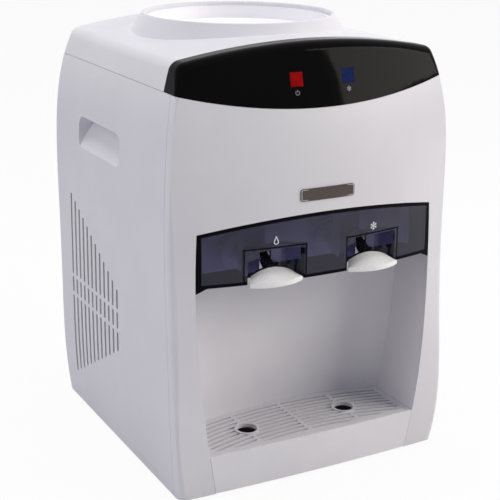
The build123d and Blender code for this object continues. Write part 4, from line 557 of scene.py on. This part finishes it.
# Printed signs: a drop over the room-temperature tap and a snowflake over the cold one
cover_skin = skin("tap_cover", ahead_of=-140.5 * MM, spread=30 * MM)
drop_bead = carried(drop_path((-TAP_X, SIGN_Z), 3.6 * MM), 0.75 * MM, 0.08 * MM, True, cover_skin)
closed_piece("drop_sign", [drop_bead], print_white, "body", loop_rows=True)
closed_piece("snowflake_sign", [carried(path, 0.62 * MM, 0.08 * MM, False, cover_skin)
                                for path in snow_paths(np.array([TAP_X, SIGN_Z]), 4.0 * MM)],
             print_white, "body")

# Small signs under the indicators: a power ring and a snowflake
panel_skin = skin("control_panel", ahead_of=-100 * MM, spread=20 * MM)
power_paths = [arc((-LENS_X, CAPTION_Z), RING_RADIUS, 125, 415),
               line((-LENS_X, CAPTION_Z + 0.4 * MM), (-LENS_X, CAPTION_Z + 2.6 * MM))]
closed_piece("power_sign", [carried(path, 0.5 * MM, 0.06 * MM, False, panel_skin) for path in power_paths],
             print_grey, "body")
closed_piece("cooling_sign", [carried(path, 0.42 * MM, 0.06 * MM, False, panel_skin)
                              for path in snow_paths(np.array([LENS_X, CAPTION_Z]), 2.5 * MM)],
             print_grey, "body")


def rocker_skin(x, z):
    """The rocker's face: its depth plus the height off its middle line times the tangent of the tilt."""
    return ROCKER_FACE + np.abs(z - ROCKER_Z) * np.tan(ROCKER_TILT) + 0 * x


# Rocker marks: a bar on the half that switches on and a ring on the other
rocker_bar = line((ROCKER_X, ROCKER_Z + MARK_UP - BAR_HALF), (ROCKER_X, ROCKER_Z + MARK_UP + BAR_HALF))
rocker_ring = arc((ROCKER_X, ROCKER_Z - MARK_UP), RING_RADIUS, 0, 351)
closed_piece("rocker_bar", [carried(rocker_bar, 0.7 * MM, 0.08 * MM, False, rocker_skin, outward=1)],
             print_white, "rocker")
closed_piece("rocker_ring", [carried(rocker_ring, 0.6 * MM, 0.08 * MM, True, rocker_skin, outward=1)],
             print_white, "rocker", loop_rows=True)


def pale_floor():
    """Off-white paper that the camera sees at full white, less the object's shadow."""
    seen_glow = 0.94
    material, tree, coords = new_material("pale_studio_floor")
    paper = node(tree, "BsdfDiffuse", {"Color": drift(tree, coords, 220, "dddddf", "e1e1e3")})[0]
    # A little over 1, for what the paper's own share takes away
    glow = node(tree, "Emission", {"Color": colour("ffffff"), "Strength": 1.005})[0]
    camera_ray = node(tree, "LightPath")["Is Camera Ray"]
    share = node(tree, "Math", {0: camera_ray, 1: seen_glow}, operation="MULTIPLY")[0]
    shader = node(tree, "MixShader", {0: share, 1: paper, 2: glow})[0]
    node(tree, "OutputMaterial", {"Surface": shader})
    return material


# Floor: a flat sheet just under the feet
FLOOR_HALF, FLOOR_LINES, FLOOR_Z = 4.0, 9, -0.4 * MM
span = np.linspace(-FLOOR_HALF, FLOOR_HALF, FLOOR_LINES)
ground = np.stack(np.broadcast_arrays(span[None, :], span[:, None], FLOOR_Z), -1)
floor_mesh = bpy.data.meshes.new("floor")
cells = quads(np.arange(FLOOR_LINES ** 2).reshape(FLOOR_LINES, FLOOR_LINES))
floor_mesh.from_pydata(ground.reshape(-1, 3).tolist(), [], cells)
floor_mesh.materials.append(pale_floor())
floor = bpy.data.objects.new("floor", floor_mesh)
scene.collection.objects.link(floor)

# World: white to the eye, in reflections and through the smoked cover; a cool even light on everything else
world = bpy.data.worlds.new("studio")
scene.world = world
world.use_nodes = True
sky = world.node_tree
sky.nodes.clear()
ray = node(sky, "LightPath")
seen = node(sky, "Math", {0: ray["Is Camera Ray"], 1: ray["Is Glossy Ray"]}, operation="MAXIMUM")[0]
seen = node(sky, "Math", {0: seen, 1: ray["Is Transmission Ray"]}, operation="MAXIMUM")[0]
ambient = node(sky, "Background", {"Color": colour("f4f3fb"), "Strength": 0.245})[0]
white = node(sky, "Background", {"Color": colour("ffffff"), "Strength": 1.0})[0]
mixed = node(sky, "MixShader", {0: seen, 1: ambient, 2: white})[0]
node(sky, "OutputWorld", {"Surface": mixed})


def stand(thing, place, right, up, back):
    """Stand a lamp or a camera at a place, with its own x, y and z axes along right, up and back."""
    scene.collection.objects.link(thing)
    turned = Matrix(np.column_stack([right, up, back]).tolist())
    thing.matrix_world = Matrix.Translation(place) @ turned.to_4x4()


def softbox(name, place, target, size, power, cast="ffffff", mirrored=False):
    """Square area lamp at a place, aimed at a target; mirrored says whether glossy faces show it."""
    lamp = bpy.data.lights.new(name, "AREA")
    lamp.shape = "SQUARE"
    lamp.size = size
    lamp.energy = power
    lamp.color = colour(cast)[:3]
    holder = bpy.data.objects.new(name, lamp)
    holder.visible_glossy = mirrored
    back = np.array(place) - np.array(target)
    back /= np.linalg.norm(back)
    right = np.cross([0, 0, 1], back)
    right /= np.linalg.norm(right)
    stand(holder, place, right, np.cross(back, right), back)


# Lamps: metres and watts, aimed at the middle of the body or at its crown
MIDDLE, CROWN = (0.0, 0.0, 0.22), (0.0, 0.0, 0.3)
softbox("key_right", (1.754, -1.58, 1.175), MIDDLE, size=1.2, power=30, cast="fff9f0", mirrored=True)
softbox("edge_right", (2.4, -0.7, 1.0), MIDDLE, size=1.0, power=15, cast="fff9f0")
softbox("fill_left", (-2.3, -0.1, 1.1), MIDDLE, size=1.6, power=16)
softbox("top_light", (-0.1, 0.3, 2.3), CROWN, size=1.6, power=28)

# Camera, from the fit to the photograph's own lines
CAMERA_PLACE = (-0.5682, -1.0385, 0.5701)
AZIMUTH, ELEVATION, ROLL = radians(-27.64), radians(17.73), radians(0.56)
FOCAL_PIXELS, PICTURE_PIXELS, SENSOR_WIDTH = 1188.91, 500, 36.0
back = np.array([sin(AZIMUTH) * cos(ELEVATION), -cos(AZIMUTH) * cos(ELEVATION), sin(ELEVATION)])
level = np.array([cos(AZIMUTH), sin(AZIMUTH), 0.0])
rise = np.cross(back, level)
view = bpy.data.cameras.new("camera")
view.sensor_width = SENSOR_WIDTH
view.lens = FOCAL_PIXELS / PICTURE_PIXELS * SENSOR_WIDTH
view.shift_x = 0.0568
view.shift_y = -0.0122
camera = bpy.data.objects.new("camera", view)
stand(camera, CAMERA_PLACE, level * cos(ROLL) + rise * sin(ROLL), rise * cos(ROLL) - level * sin(ROLL), back)
scene.camera = camera
scene.view_settings.view_transform = "Standard"
